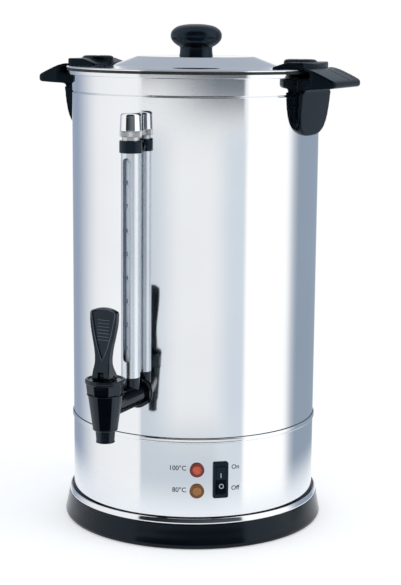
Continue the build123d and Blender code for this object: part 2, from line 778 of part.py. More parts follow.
def handle(azimuth):
    """Grip and tongue in one moulding: side profile, front outline and plan all bound its shape."""
    right = facing_out(azimuth, 0, 0).x_dir
    with BuildPart() as piece:
        with BuildSketch(side_on(azimuth)):
            with BuildLine():
                bend_end = (tongue_top_rho + tongue_bend, handle_under_z - 0.5)
                crown_start = (handle_reach - 3.2, nose_top_z)
                crown_end = (body_r + grip_crown_out, handle_top_z)
                Polyline(
                    (handle_in, handle_bottom),
                    (body_r + tongue_low_out, handle_bottom),
                    (body_r + tongue_mid_out, handle_bottom + tongue_mid_rise),
                    (tongue_top_rho, handle_root_z),
                )
                ThreePointArc(
                    (tongue_top_rho, handle_root_z),
                    (tongue_top_rho + 0.34 * tongue_bend, handle_under_z - 0.34 * tongue_bend),
                    bend_end,
                )
                Line(bend_end, (nose_in, nose_low_z))
                ThreePointArc((nose_in, nose_low_z), (handle_reach, nose_mid_z), crown_start)
                ThreePointArc(crown_start, crown_mid, crown_end)
                Polyline(crown_end, (handle_in, handle_top_z), (handle_in, handle_bottom))
            make_face()
        extrude(amount=handle_half_w, both=True)
        # front outline of the tongue, with its rounded lower end
        with BuildSketch(facing_out(azimuth, handle_in, 0)):
            with BuildLine():
                right_edge = [
                    (handle_half_w, handle_root_z),
                    (handle_half_w - tongue_taper, handle_bottom + tongue_round_up),
                    (handle_half_w * 0.62, handle_bottom + tongue_toe_up),
                    (0, handle_bottom),
                ]
                left_edge = [(-x, z) for x, z in reversed(right_edge)]
                Spline(*right_edge, tangents=((0, -1), (-1, 0)))
                Spline(*left_edge, tangents=((-1, 0), (0, 1)))
                Polyline(left_edge[-1], (-handle_half_w, handle_top_z + 1),
                         (handle_half_w, handle_top_z + 1), right_edge[0])
            make_face()
        extrude(amount=handle_reach, mode=Mode.INTERSECT)
        # plan of the grip, with rounded outer corners and a bowed nose
        with BuildSketch(Plane(origin=(0, 0, handle_bottom), x_dir=right, z_dir=(0, 0, 1))) as plan:
            with BuildLine():
                nose_half = handle_half_w - 1.5
                nose_y = grip_bow - handle_reach
                side_y = grip_chamfer + nose_y
                Polyline((-nose_half, nose_y), (-handle_half_w, side_y), (-handle_half_w, -handle_in),
                         (handle_half_w, -handle_in), (handle_half_w, side_y), (nose_half, nose_y))
                ThreePointArc((nose_half, nose_y), (0, -handle_reach), (-nose_half, nose_y))
            make_face()
            fillet(plan.vertices().group_by(Axis.Y)[0], grip_corner_r)
        extrude(amount=handle_top_z - handle_bottom, mode=Mode.INTERSECT)
        # tank wall, lid edge and the slot over the tank's rim
        Cylinder(body_r + seat_gap, 2 * handle_top_z, mode=Mode.SUBTRACT)
        with BuildSketch(side_on(azimuth)):
            with Locations((lock_slot_rho / 2, lock_slot_z + lock_slot_h / 2)):
                Rectangle(lock_slot_rho, lock_slot_h)
        extrude(amount=handle_half_w + 1, both=True, mode=Mode.SUBTRACT)
        with BuildSketch(Plane.XY.offset(lock_slot_z + lock_slot_h / 2)):
            Circle(lid_r + 2 * run_gap)
        extrude(amount=handle_top_z, mode=Mode.SUBTRACT)
        # finger grooves along the top of the grip
        with BuildSketch(side_on(azimuth)):
            with BuildLine():
                groove_start = (nose_in, nose_top_z)
                groove_end = (body_r + 14, handle_top_z - 3.0)
                ThreePointArc(groove_start, (crown_mid[0], crown_mid[1] - finger_groove_depth), groove_end)
                Polyline(groove_end, (handle_reach, handle_top_z), groove_start)
            make_face()
        grooves = extrude(amount=finger_groove_w / 2, both=True, mode=Mode.PRIVATE)
        for shift in (-finger_groove_at, finger_groove_at):
            add(grooves.moved(Location(right * shift)), mode=Mode.SUBTRACT)
        # screw bores from the tank side
        for spread in (-handle_screw_spread, handle_screw_spread):
            with BuildSketch(facing_out(azimuth + spread, tank_in_r, handle_screw_z)):
                Circle(handle_screw_r + seat_gap)
            extrude(amount=handle_screw_l + run_gap, mode=Mode.SUBTRACT)
    return piece


handle_right = handle(90)
handle_left = handle(-90)
save(handle_right, "handle_right")
save(handle_left, "handle_left")


def wall_screw_plane(azimuth, height):
    """Seat of a screw that goes outwards through the tank wall; its head is inside the tank."""
    face = facing_out(azimuth, tank_in_r - skin / 8, height)
    return Plane(origin=face.origin, x_dir=face.x_dir, z_dir=-face.z_dir)


handle_screw_planes = [wall_screw_plane(a, handle_screw_z) for a in handle_screw_azimuths]
screw_set("handle_screws", handle_screw_planes, handle_screw_r, handle_screw_l,
          wall_screw_head_r, wall_screw_head_h)

# ================================================================ tap
tap_axis = Axis((0, tap_y, 0), (0, 0, 1))
tap_section = Plane(origin=(0, tap_y, 0), x_dir=(1, 0, 0), z_dir=(0, -1, 0))
spout_root_z = cup_low_z - spout_root_drop
washer_r = flange_r - washer_inset

# Tap body: cup and spout, shank with its thread, and the socket that the gauge stands in
with BuildPart() as tap_body:
    with BuildSketch(tap_section):
        with BuildLine():
            Polyline(
                (0, spout_z),
                (spout_r + spout_lip, spout_z),
                (spout_r + spout_lip, spout_z + 3 * spout_lip),
                (spout_r, spout_z + 5 * spout_lip),
                (spout_root_r, spout_root_z),
                (cup_low_r - 0.6 * spout_root_drop, spout_root_z),
            )
            ThreePointArc(
                (cup_low_r - 0.6 * spout_root_drop, spout_root_z),
                (cup_low_r - 0.12 * spout_root_drop, cup_low_z - 0.7 * spout_root_drop),
                (cup_low_r, cup_low_z),
            )
            Polyline((cup_low_r, cup_low_z), (cup_top_r, cup_top_z), (neck_r, cup_top_z),
                     (neck_r, neck_top), (0, neck_top), (0, spout_z))
        make_face()
    revolve(axis=tap_axis)
    with BuildSketch(facing_out(0, body_r + washer_t, tap_axis_z)):
        Circle(shank_r)
    extrude(amount=tap_rho - body_r - washer_t)
    with BuildSketch(facing_out(0, body_r + washer_t, tap_axis_z)):
        Circle(flange_r)
    extrude(amount=flange_t)
    with BuildSketch(facing_out(0, body_r + washer_t, tap_axis_z)):
        Circle(thread_r)
    extrude(amount=-washer_t - thread_in)
    with BuildSketch(Plane(origin=(0, gauge_y, tap_axis_z))):
        Circle(socket_r)
    extrude(amount=gauge_tube_low - tap_axis_z)
    # water way: cup inside, spout bore, shank bore, socket bores
    with BuildSketch(tap_section):
        with BuildLine():
            Polyline(
                (0, spout_z),
                (spout_bore, spout_z),
                (spout_bore, seat_z),
                (cup_low_r - cup_wall, seat_z),
                (cup_in_r, cup_top_z),
                (cup_in_r, neck_top),
                (0, neck_top),
                close=True,
            )
        make_face()
    revolve(axis=tap_axis, mode=Mode.SUBTRACT)
    with BuildSketch(facing_out(0, thread_in_rho, tap_axis_z)):
        Circle(shank_bore)
    extrude(amount=tap_rho - thread_in_rho, mode=Mode.SUBTRACT)
    with BuildSketch(Plane(origin=(0, gauge_y, socket_floor_z))):
        Circle(socket_bore)
    extrude(amount=gauge_tube_low - socket_floor_z, mode=Mode.SUBTRACT)
    with BuildSketch(Plane(origin=(0, gauge_y, tap_axis_z))):
        Circle(water_way_r)
    extrude(amount=socket_floor_z - tap_axis_z, mode=Mode.SUBTRACT)
save(tap_body, "tap_body")

# Silicone washers each side of the tank wall, shaped to its curve
with BuildPart() as tap_outer_washer:
    with BuildSketch(facing_out(0, body_r + washer_t, tap_axis_z)):
        Circle(washer_r)
        Circle(thread_r + seat_gap, mode=Mode.SUBTRACT)
    extrude(amount=-2 * washer_t)
    Cylinder(body_r + seat_gap, 4 * tap_axis_z, mode=Mode.SUBTRACT)
save(tap_outer_washer, "tap_outer_washer")

washer_in_rho = tank_in_r - washer_t - 1.0
with BuildPart() as tap_inner_washer:
    with BuildSketch(facing_out(0, washer_in_rho, tap_axis_z)):
        Circle(washer_r)
        Circle(thread_r + seat_gap, mode=Mode.SUBTRACT)
    extrude(amount=2 * washer_t)
    Cylinder(tank_in_r - seat_gap, 4 * tap_axis_z, mode=Mode.INTERSECT)
save(tap_inner_washer, "tap_inner_washer")

with BuildPart() as tap_nut:
    with BuildSketch(facing_out(0, washer_in_rho, tap_axis_z)):
        RegularPolygon(washer_r - 1.2, 6, major_radius=False)
        Circle(thread_r + seat_gap, mode=Mode.SUBTRACT)
    extrude(amount=-tap_nut_h)
    chamfer(tap_nut.faces().sort_by(Axis.Y)[-1].outer_wire().edges(), 0.8)
save(tap_nut, "tap_nut")

# Bonnet: threaded cap with a raised lip and a fluted skirt
lip_low = bonnet_top - bonnet_lip_h
bonnet_under = bonnet_face - bonnet_wall
with BuildPart() as tap_bonnet:
    with BuildSketch(tap_section):
        with BuildLine():
            Polyline(
                (neck_r + seat_gap, cup_top_z),
                (bonnet_low_r, cup_top_z),
                (bonnet_lip_r - 0.9, lip_low - 0.4),
                (bonnet_lip_r - 0.3, lip_low + 0.4),
                (bonnet_lip_r, bonnet_top - 1.0),
                (bonnet_lip_r - 0.9, bonnet_top),
                (bonnet_lip_r - 2.0, bonnet_top - 0.2),
                (bonnet_lip_r - 2.8, bonnet_face),
                (stem_r + run_gap, bonnet_face),
                (stem_r + run_gap, bonnet_under),
                (neck_r + seat_gap, bonnet_under),
                close=True,
            )
        make_face()
    revolve(axis=tap_axis)
    with BuildSketch(Plane(origin=(0, tap_y, cup_top_z - 1))):
        with PolarLocations(bonnet_low_r + flute_r, flutes):
            Circle(flute_r)
    extrude(amount=lip_low - cup_top_z, mode=Mode.SUBTRACT)
save(tap_bonnet, "tap_bonnet")

with BuildPart() as bonnet_seal:
    with BuildSketch(Plane(origin=(0, tap_y, neck_top))):
        Circle(neck_r)
        Circle(stem_r + run_gap, mode=Mode.SUBTRACT)
    extrude(amount=bonnet_under - neck_top)
save(bonnet_seal, "bonnet_seal")

# Valve stem: round rod with a flat eye at the top, slotted so that the lever's pin can lift it
eye_front = tap_y - pin_forward - lever_pin_r - eye_wall
eye_back = tap_y + lever_pin_r + eye_wall
eye_low = bonnet_face + run_gap + 0.1
eye_top = lever_pin_z + eye_slot_h / 2 + eye_wall
with BuildPart() as valve_stem:
    with BuildSketch(Plane(origin=(0, tap_y, valve_z + valve_skirt))):
        Circle(stem_r)
    extrude(amount=eye_low - valve_z - valve_skirt + 1.0)
    with BuildSketch(Plane.YZ):
        with BuildLine():
            Polyline((eye_front, lever_pin_z - lever_pin_r), (tap_y - stem_r, eye_low), (eye_back, eye_low),
                     (eye_back, eye_top), (eye_front, eye_top), close=True)
        make_face()
        with Locations((tap_y - pin_forward / 2, lever_pin_z)):
            SlotOverall(pin_forward + eye_slot_h, eye_slot_h, mode=Mode.SUBTRACT)
    extrude(amount=lever_slot_w / 2 - run_gap, both=True)
save(valve_stem, "valve_stem")

with BuildPart() as valve_seal:
    with BuildSketch(tap_section):
        with BuildLine():
            Polyline(
                (0, valve_z),
                (valve_r - 1, valve_z),
                (valve_r, valve_z + 1),
                (valve_r, hub_low),
                (hub_r, hub_low),
                (hub_r, hub_low + hub_h),
                (stem_r + seat_gap, hub_low + hub_h),
                (stem_r + seat_gap, valve_z + valve_skirt),
                (0, valve_z + valve_skirt),
                close=True,
            )
        make_face()
    revolve(axis=tap_axis)
save(valve_seal, "valve_seal")

# Closing spring between the valve and the bonnet's seal
with BuildPart() as valve_spring:
    with BuildLine():
        coil = Helix(pitch=(spring_top - spring_low) / coils, height=spring_top - spring_low,
                     radius=spring_r, center=(0, tap_y, spring_low))
    with BuildSketch(Plane(origin=coil @ 0, z_dir=coil % 0)):
        Circle(spring_wire)
    sweep(is_frenet=True)
save(valve_spring, "valve_spring")


def paddle_front(height):
    """Distance of the paddle's front face before the tap's axis at a height."""
    share = (height - lever_waist_z) / (lever_top_z - lever_waist_z)
    return lever_waist_front + share * (lever_top_front - lever_waist_front)


# Petal-shaped dish in the paddle's face, cut to an even depth
dish_half = lever_half_w - rim_w
dish_top = lever_top_z - rim_w
dish_shoulder = (0.93 * dish_half, dish_top - 8.0)
with BuildPart() as lever_dish:
    with BuildSketch(tap_section):
        with BuildLine():
            for hand in (1, -1):
                Spline((0, lever_waist_z + 1.0), (hand * dish_half * 0.48, lever_waist_z + dish_narrow_up),
                       (hand * dish_shoulder[0], dish_shoulder[1]))
                Line((hand * dish_shoulder[0], dish_shoulder[1]), (hand * dish_half, dish_top - 3.2))
            ThreePointArc((dish_half, dish_top - 3.2), (0, dish_top), (-dish_half, dish_top - 3.2))
        make_face()
    extrude(amount=2 * lever_base_front)
    with BuildSketch(Plane(origin=(-lever_half_w, 0, 0), x_dir=(0, 1, 0), z_dir=(1, 0, 0))):
        with BuildLine():
            foot_y = tap_y - paddle_front(lever_waist_z)
            head_y = tap_y - paddle_front(lever_top_z)
            Polyline((foot_y + dish_depth, lever_waist_z), (head_y + dish_depth, lever_top_z),
                     (head_y - lever_base_front, lever_top_z), (foot_y - lever_base_front, lever_waist_z),
                     close=True)
        make_face()
    extrude(amount=2 * lever_half_w, mode=Mode.INTERSECT)

# Lever: petal-shaped paddle above a forked foot that rocks on the bonnet's top
lever_front = tap_y - lever_base_front
lever_back = tap_y + lever_base_back
waist_front = (tap_y - lever_waist_front, lever_waist_z)
waist_back = (tap_y + lever_waist_back, lever_waist_z)
crown_x = lever_half_w - lever_top_round
crown_z = lever_top_z - 2.3
with BuildPart() as tap_lever:
    with BuildSketch(tap_section):
        with BuildLine():
            for hand in (1, -1):
                Spline(
                    (hand * lever_base_half, lever_foot_z),
                    (hand * (lever_waist_half + 0.8), lever_waist_z - 8),
                    (hand * lever_waist_half, lever_waist_z),
                    (hand * (lever_waist_half + 3.3), lever_top_z - lever_flare_drop),
                    (hand * lever_half_w, lever_top_z - 2 * lever_top_round),
                )
                ThreePointArc((hand * lever_half_w, lever_top_z - 2 * lever_top_round),
                              (hand * (lever_half_w - 0.6), lever_top_z - 1.27 * lever_top_round),
                              (hand * crown_x, crown_z))
            Line((lever_base_half, lever_foot_z), (-lever_base_half, lever_foot_z))
            ThreePointArc((crown_x, crown_z), (0, lever_top_z), (-crown_x, crown_z))
        make_face()
    extrude(amount=lever_base_front + 2, both=True)
    with BuildSketch(Plane(origin=(-lever_half_w - 1, 0, 0), x_dir=(0, 1, 0), z_dir=(1, 0, 0))):
        with BuildLine():
            Line((lever_front, lever_foot_z), (lever_front, lever_foot_z + 5))
            Spline((lever_front, lever_foot_z + 5), waist_front, tangents=((0, 1), (0.1, 1)))
            Polyline(waist_front, (tap_y - lever_top_front, lever_top_z),
                     (tap_y + lever_top_back, lever_top_z), waist_back)
            Spline(waist_back, (lever_back, lever_foot_z + 4), tangents=((0, -1), (0.5, -1)))
            Polyline((lever_back, lever_foot_z + 4), (lever_back, lever_foot_z), (lever_front, lever_foot_z))
        make_face()
    extrude(amount=2 * lever_half_w + 2, mode=Mode.INTERSECT)
    # fork for the stem's eye, and the pin's hole
    with BuildSketch(Plane.XY.offset(lever_foot_z)):
        with Locations((0, tap_y)):
            Rectangle(lever_slot_w, 4 * lever_base_front)
    extrude(amount=lever_slot_h, mode=Mode.SUBTRACT)
    with BuildSketch(Plane.YZ):
        with Locations((tap_y, lever_pin_z)):
            Circle(lever_pin_r + seat_gap)
    extrude(amount=lever_half_w, both=True, mode=Mode.SUBTRACT)
    # dish and its thumb ribs
    add(lever_dish.part, mode=Mode.SUBTRACT)
    for rib in range(ribs):
        rib_z = dish_shoulder[1] - rib * rib_pitch
        with Locations((0, tap_y - paddle_front(rib_z) + dish_depth, rib_z)):
            Box(rib_w, rib_out, rib_h)
save(tap_lever, "tap_lever")

with BuildPart() as lever_pin:
    with BuildSketch(Plane.YZ):
        with Locations((tap_y, lever_pin_z)):
            Circle(lever_pin_r)
    extrude(amount=lever_base_half - 1.2, both=True)
save(lever_pin, "lever_pin")

# ================================================================ sight gauge
collar_seal_r = glass_r + glass_seal_w
with BuildPart() as gauge_seals:
    with BuildSketch(Plane(origin=(0, gauge_y, socket_floor_z))):
        Circle(socket_bore - seat_gap)
        Circle(water_way_r, mode=Mode.SUBTRACT)
    extrude(amount=glass_seal_t)
    with BuildSketch(Plane(origin=(0, gauge_y, collar_top - glass_seal_t))):
        Circle(collar_seal_r)
        Circle(glass_r + seat_gap, mode=Mode.SUBTRACT)
    extrude(amount=glass_seal_t)
save(gauge_seals, "gauge_seals")

with BuildPart() as gauge_glass:
    with BuildSketch(Plane(origin=(0, gauge_y, socket_floor_z + glass_seal_t))):
        Circle(glass_r)
        Circle(glass_bore, mode=Mode.SUBTRACT)
    extrude(amount=glass_top - socket_floor_z - glass_seal_t)
save(gauge_glass, "gauge_glass")

# Aluminium tube round the glass, open in front through a long round-ended slot
with BuildPart() as gauge_shield:
    with BuildSketch(Plane(origin=(0, gauge_y, gauge_tube_low))):
        Circle(gauge_tube_r)
        Circle(gauge_tube_r - gauge_tube_t, mode=Mode.SUBTRACT)
    extrude(amount=gauge_tube_top - gauge_tube_low)
    with BuildSketch(facing_out(0, gauge_rho, (gauge_slot_low + gauge_slot_top) / 2)):
        SlotOverall(gauge_slot_top - gauge_slot_low, gauge_slot_w, rotation=90)
    extrude(amount=gauge_tube_r + 1, mode=Mode.SUBTRACT)
save(gauge_shield, "gauge_shield")

# Black collar that ties the gauge's head to the tank
collar_plane = Plane(origin=(0, gauge_y, collar_low))
bracket_face = facing_out(0, body_r - 2, bracket_z)
with BuildPart() as gauge_collar:
    with BuildSketch(collar_plane):
        Circle(collar_r)
    extrude(amount=collar_h)
    fillet(gauge_collar.edges(), 0.8)
    with BuildSketch(bracket_face):
        Circle(bracket_r)
    extrude(amount=gauge_rho - body_r + 2)
    with BuildSketch(bracket_face):
        Circle(bracket_pad_r)
    extrude(amount=bracket_pad_t + 2)
    Cylinder(body_r + seat_gap, 3 * bracket_z, mode=Mode.SUBTRACT)
    with BuildSketch(collar_plane):
        Circle(gauge_tube_r + seat_gap)
    extrude(amount=collar_hold, mode=Mode.SUBTRACT)
    with BuildSketch(collar_plane):
        Circle(glass_r + run_gap + 0.1)
    extrude(amount=collar_h, mode=Mode.SUBTRACT)
    with BuildSketch(collar_plane.offset(collar_h)):
        Circle(collar_seal_r + seat_gap)
    extrude(amount=-glass_seal_t, mode=Mode.SUBTRACT)
    with BuildSketch(bracket_face):
        Circle(bracket_screw_r + seat_gap)
    extrude(amount=bracket_screw_l + 2.5, mode=Mode.SUBTRACT)
save(gauge_collar, "gauge_collar")

screw_set("gauge_screw", [wall_screw_plane(0, bracket_z)], bracket_screw_r, bracket_screw_l,
          wall_screw_head_r, wall_screw_head_h)

# Gland nut with its knurled ring, and the domed cap over the glass
with BuildPart() as gauge_gland:
    with BuildSketch(Plane(origin=(0, gauge_y, collar_top))):
        Circle(gland_neck_r)
    extrude(amount=gland_neck_h)
    with BuildSketch(Plane(origin=(0, gauge_y, glass_top))):
        Circle(cap_r + 0.1)
        with PolarLocations(cap_r + 0.35, knurls):
            Circle(knurl_r, mode=Mode.SUBTRACT)
    extrude(amount=gland_ring_h)
    with BuildSketch(Plane(origin=(0, gauge_y, collar_top))):
        Circle(glass_r + seat_gap)
    extrude(amount=gland_neck_h + gland_ring_h, mode=Mode.SUBTRACT)
save(gauge_gland, "gauge_gland")

with BuildPart() as gauge_cap:
    with BuildSketch(Plane(origin=(0, gauge_y, gland_top))):
        Circle(cap_r)
    extrude(amount=cap_h)
    fillet(gauge_cap.edges().group_by(Axis.Z)[-1], cap_round)
    with BuildSketch(Plane(origin=(0, gauge_y, gland_top))):
        Circle(glass_r)
    extrude(amount=cap_h * 0.6, mode=Mode.SUBTRACT)
save(gauge_cap, "gauge_cap")

# ================================================================ control panel
switch_out = Axis((0, 0, 0), facing_out(switch_az, 0, 0).z_dir)
with BuildPart() as switch_housing:
    with BuildSketch(facing_out(switch_az, panel_rho, switch_z)):
        RectangleRounded(switch_w, switch_h, 2.0)
    extrude(amount=-switch_proud - 2)
    chamfer(switch_housing.faces().sort_by(switch_out)[-1].edges(), 0.6)
    Cylinder(body_r + seat_gap, 4 * switch_z, mode=Mode.SUBTRACT)
    with BuildSketch(facing_out(switch_az, panel_rho - 1, switch_z)):
        Rectangle(switch_body_w, switch_body_h)
    extrude(amount=-switch_depth)
    with BuildSketch(facing_out(switch_az, panel_rho, switch_z)):
        Rectangle(rocker_w + 2 * run_gap, 2 * rocker_r + 2 * run_gap)
    extrude(amount=-recess_depth, mode=Mode.SUBTRACT)
    with BuildSketch(side_on(switch_az)):
        with Locations((pivot_rho, switch_z)):
            Circle(rocker_pin_r + seat_gap)
    extrude(amount=switch_body_w / 2 - 0.4, both=True, mode=Mode.SUBTRACT)
save(switch_housing, "switch_housing")

# Rocker seen from the side: two halves of the face slope down to the hollow in its middle
rocker_outline = [
    (rocker_hollow, 0),
    (rocker_face, rocker_r),
    (-0.5, rocker_r),
    (-rocker_heel, 4),
    (-rocker_heel, -4),
    (-0.5, -rocker_r),
    (rocker_face, -rocker_r),
]
with BuildPart() as switch_rocker:
    with BuildSketch(side_on(switch_az)):
        with Locations((pivot_rho, switch_z)):
            Polygon(*rocker_outline, rotation=rocker_swing / 2, align=None)
            Circle(rocker_r, mode=Mode.INTERSECT)
            Circle(rocker_pin_r + 2 * seat_gap, mode=Mode.SUBTRACT)
    extrude(amount=rocker_w / 2, both=True)
save(switch_rocker, "switch_rocker")

with BuildPart() as rocker_pin:
    with BuildSketch(side_on(switch_az)):
        with Locations((pivot_rho, switch_z)):
            Circle(rocker_pin_r)
    extrude(amount=switch_body_w / 2 - 0.5, both=True)
save(rocker_pin, "rocker_pin")

with BuildPart() as switch_blades:
    with BuildSketch(facing_out(switch_az, panel_rho - 1 - switch_depth, switch_z)):
        with GridLocations(7.0, 9.0, 2, 3):
            Rectangle(blade_w, blade_h)
    extrude(amount=-blade_l)
save(switch_blades, "switch_blades")


def lamp(height):
    """Black bezel with a stem through the panel, and a domed lens in it."""
    outward = Axis((0, 0, 0), facing_out(lamp_az, 0, 0).z_dir)
    with BuildPart() as bezel:
        with BuildSketch(facing_out(lamp_az, body_r + lamp_proud, height)):
            Circle(lamp_r)
        extrude(amount=-lamp_proud - 1)
        chamfer(bezel.faces().sort_by(outward)[-1].edges(), 0.5)
        Cylinder(body_r + seat_gap, 4 * height, mode=Mode.SUBTRACT)
        with BuildSketch(facing_out(lamp_az, body_r + lamp_proud / 2, height)):
            Circle(lamp_stem_r)
        extrude(amount=-lamp_depth)
        with BuildSketch(facing_out(lamp_az, body_r + lamp_proud, height)):
            Circle(lamp_lens_r + seat_gap)
        extrude(amount=-lamp_depth - lamp_proud, mode=Mode.SUBTRACT)
    with BuildPart() as lens:
        with BuildSketch(facing_out(lamp_az, body_r + lamp_proud + lens_proud, height)):
            Circle(lamp_lens_r)
        extrude(amount=-lens_depth)
        fillet(lens.faces().sort_by(outward)[-1].edges(), 0.8)
    return bezel, lens


boil_lamp_bezel, boil_lamp_lens = lamp(lamp_z[0])
warm_lamp_bezel, warm_lamp_lens = lamp(lamp_z[1])
save(boil_lamp_bezel, "boil_lamp_bezel")
save(boil_lamp_lens, "boil_lamp_lens")
save(warm_lamp_bezel, "warm_lamp_bezel")
save(warm_lamp_lens, "warm_lamp_lens")

# Small neon bulbs behind the lenses
with BuildPart() as lamp_neons:
    for height in lamp_z:
        with BuildSketch(facing_out(lamp_az, body_r + lamp_proud + lens_proud - lens_depth, height)):
            Circle(neon_r)
        extrude(amount=-neon_l)
save(lamp_neons, "lamp_neons")

# Mains inlet at the back, for a plug-in lead
pin_places = [(-pin_pitch / 2, -pin_rise / 2), (pin_pitch / 2, -pin_rise / 2), (0, pin_rise / 2)]
inlet_face = facing_out(inlet_az, body_r + inlet_proud, inlet_z)
inlet_back = inlet_proud + inlet_depth
with BuildPart() as mains_inlet:
    with BuildSketch(inlet_face):
        RectangleRounded(inlet_flange_w, inlet_flange_h, 4.0)
    extrude(amount=-inlet_proud - 3)
    chamfer(mains_inlet.faces().sort_by(Axis.Y)[-1].edges(), 0.8)
    Cylinder(body_r + seat_gap, 4 * inlet_z, mode=Mode.SUBTRACT)
    with BuildSketch(facing_out(inlet_az, body_r, inlet_z)):
        Rectangle(inlet_body_w, inlet_body_h)
    extrude(amount=-inlet_depth)
    with BuildSketch(inlet_face):
        cavity_section = Rectangle(cavity_w, cavity_h)
        chamfer(cavity_section.vertices().group_by(Axis.Y)[-1], cavity_key)
    extrude(amount=-cavity_depth, mode=Mode.SUBTRACT)
    with BuildSketch(inlet_face):
        with Locations(*pin_places):
            Rectangle(pin_w + 2 * seat_gap, pin_h + 2 * seat_gap)
        with GridLocations(inlet_screw_pitch, 1, 2, 1):
            Circle(inlet_screw_r + seat_gap)
    extrude(amount=-inlet_back - 1, mode=Mode.SUBTRACT)
save(mains_inlet, "mains_inlet")

with BuildPart() as inlet_pins:
    with BuildSketch(inlet_face.offset(-2.0)):
        with Locations(*pin_places):
            Rectangle(pin_w, pin_h)
    extrude(amount=-inlet_back - pin_back)
save(inlet_pins, "inlet_pins")

inlet_screw_planes = [
    Plane(origin=inlet_face.origin + inlet_face.x_dir * (hand * inlet_screw_pitch / 2),
          x_dir=inlet_face.x_dir, z_dir=inlet_face.z_dir)
    for hand in (-1, 1)
]
screw_set("inlet_screws", inlet_screw_planes, inlet_screw_r, inlet_screw_l,
          inlet_screw_head_r, inlet_screw_head_h)

# ================================================================ lid
cone_foot_z = flange_top + lid_flange_rise
cone_foot_under = lid_under + lid_flange_rise
lid_top_line = [
    (knob_screw_r + seat_gap, lid_plateau_z),
    (lid_plateau_r - 2.0, lid_plateau_z),
    (lid_plateau_r, lid_plateau_z - 0.6),
    (lid_cone_r - lid_turn, cone_foot_z + 0.6),
    (lid_cone_r + lid_turn, cone_foot_z),
    (lid_r - 1.4, flange_top),
    (lid_r - 0.3, flange_top - 0.4),
    (lid_r, flange_top - 1.2),
    (lid_r, flange_top - lid_hem_h),
]
lid_under_line = [
    (lid_r - lid_sheet, flange_top - lid_hem_h),
    (lid_r - lid_sheet, lid_under - 0.3),
    (lid_r - lid_sheet - 0.6, lid_under),
    (lid_cone_r + lid_turn - 0.1, cone_foot_under),
    (lid_cone_r - lid_turn - 0.2, cone_foot_under + 0.6),
    (lid_plateau_r - 0.4, lid_plateau_z - lid_sheet - 0.5),
    (lid_plateau_r - 2.1, lid_plateau_z - lid_sheet),
    (knob_screw_r + seat_gap, lid_plateau_z - lid_sheet),
]
lug_screw_places = [polar(rho, side) for side in lug_sides for rho in lug_screw_at]
with BuildPart() as lid_shell:
    with BuildSketch(Plane.XZ):
        with BuildLine():
            Polyline(*lid_top_line, *lid_under_line, close=True)
        make_face()
    revolve(axis=Axis.Z)
    with BuildSketch(Plane.XY.offset(lid_under - lid_hem_h)):
        with Locations(*lug_screw_places):
            Circle(lug_screw_r + seat_gap)
    extrude(amount=lid_rise, mode=Mode.SUBTRACT)
save(lid_shell, "lid_shell")

# Soft ring that centres the lid in the tank's mouth
seal_r = tank_in_r - run_gap
seal_low = lid_under - seal_h
with BuildPart() as lid_seal:
    with BuildSketch(Plane.XZ):
        with BuildLine():
            Polyline(
                (seal_r - seal_t, seal_low),
                (seal_r - seal_lead / 2, seal_low),
                (seal_r, seal_low + seal_lead),
                (seal_r, lid_under - run_gap),
                (seal_r - seal_t, lid_under - run_gap),
                close=True,
            )
        make_face()
    revolve(axis=Axis.Z)
save(lid_seal, "lid_seal")

# Mushroom knob
knob_top = lid_plateau_z + knob_h
knob_bore_top = lid_plateau_z + knob_bore_h
knob_neck_top = (knob_neck_r - 0.3, lid_plateau_z + knob_neck_h)
knob_wide = (knob_r, lid_plateau_z + 0.62 * knob_h)
with BuildPart() as lid_knob:
    with BuildSketch(Plane.XZ):
        with BuildLine():
            Polyline(
                (0, knob_top),
                (0, knob_bore_top),
                (knob_screw_r + seat_gap, knob_bore_top),
                (knob_screw_r + seat_gap, lid_plateau_z),
                (knob_neck_r + 0.4, lid_plateau_z),
                (knob_neck_r, lid_plateau_z + 2.0),
                knob_neck_top,
            )
            Spline(knob_neck_top, (knob_neck_r + 3.6, knob_neck_top[1] + 2.6),
                   (knob_r - 1.2, knob_wide[1] - 3.6), knob_wide, tangents=((0.6, 0.5), (0, 1)))
            Spline(knob_wide, (knob_r - 2.6, knob_wide[1] + 6.4), (knob_r * 0.5, knob_top - 1.3),
                   (0, knob_top), tangents=((0, 1), (-1, 0)))
        make_face()
    revolve(axis=Axis.Z)
save(lid_knob, "lid_knob")

knob_screw_plane = Plane(origin=(0, 0, lid_plateau_z - lid_sheet), x_dir=(1, 0, 0), z_dir=(0, 0, -1))
screw_set("knob_screw", [knob_screw_plane], knob_screw_r, knob_screw_l,
          knob_screw_head_r, knob_screw_head_h)


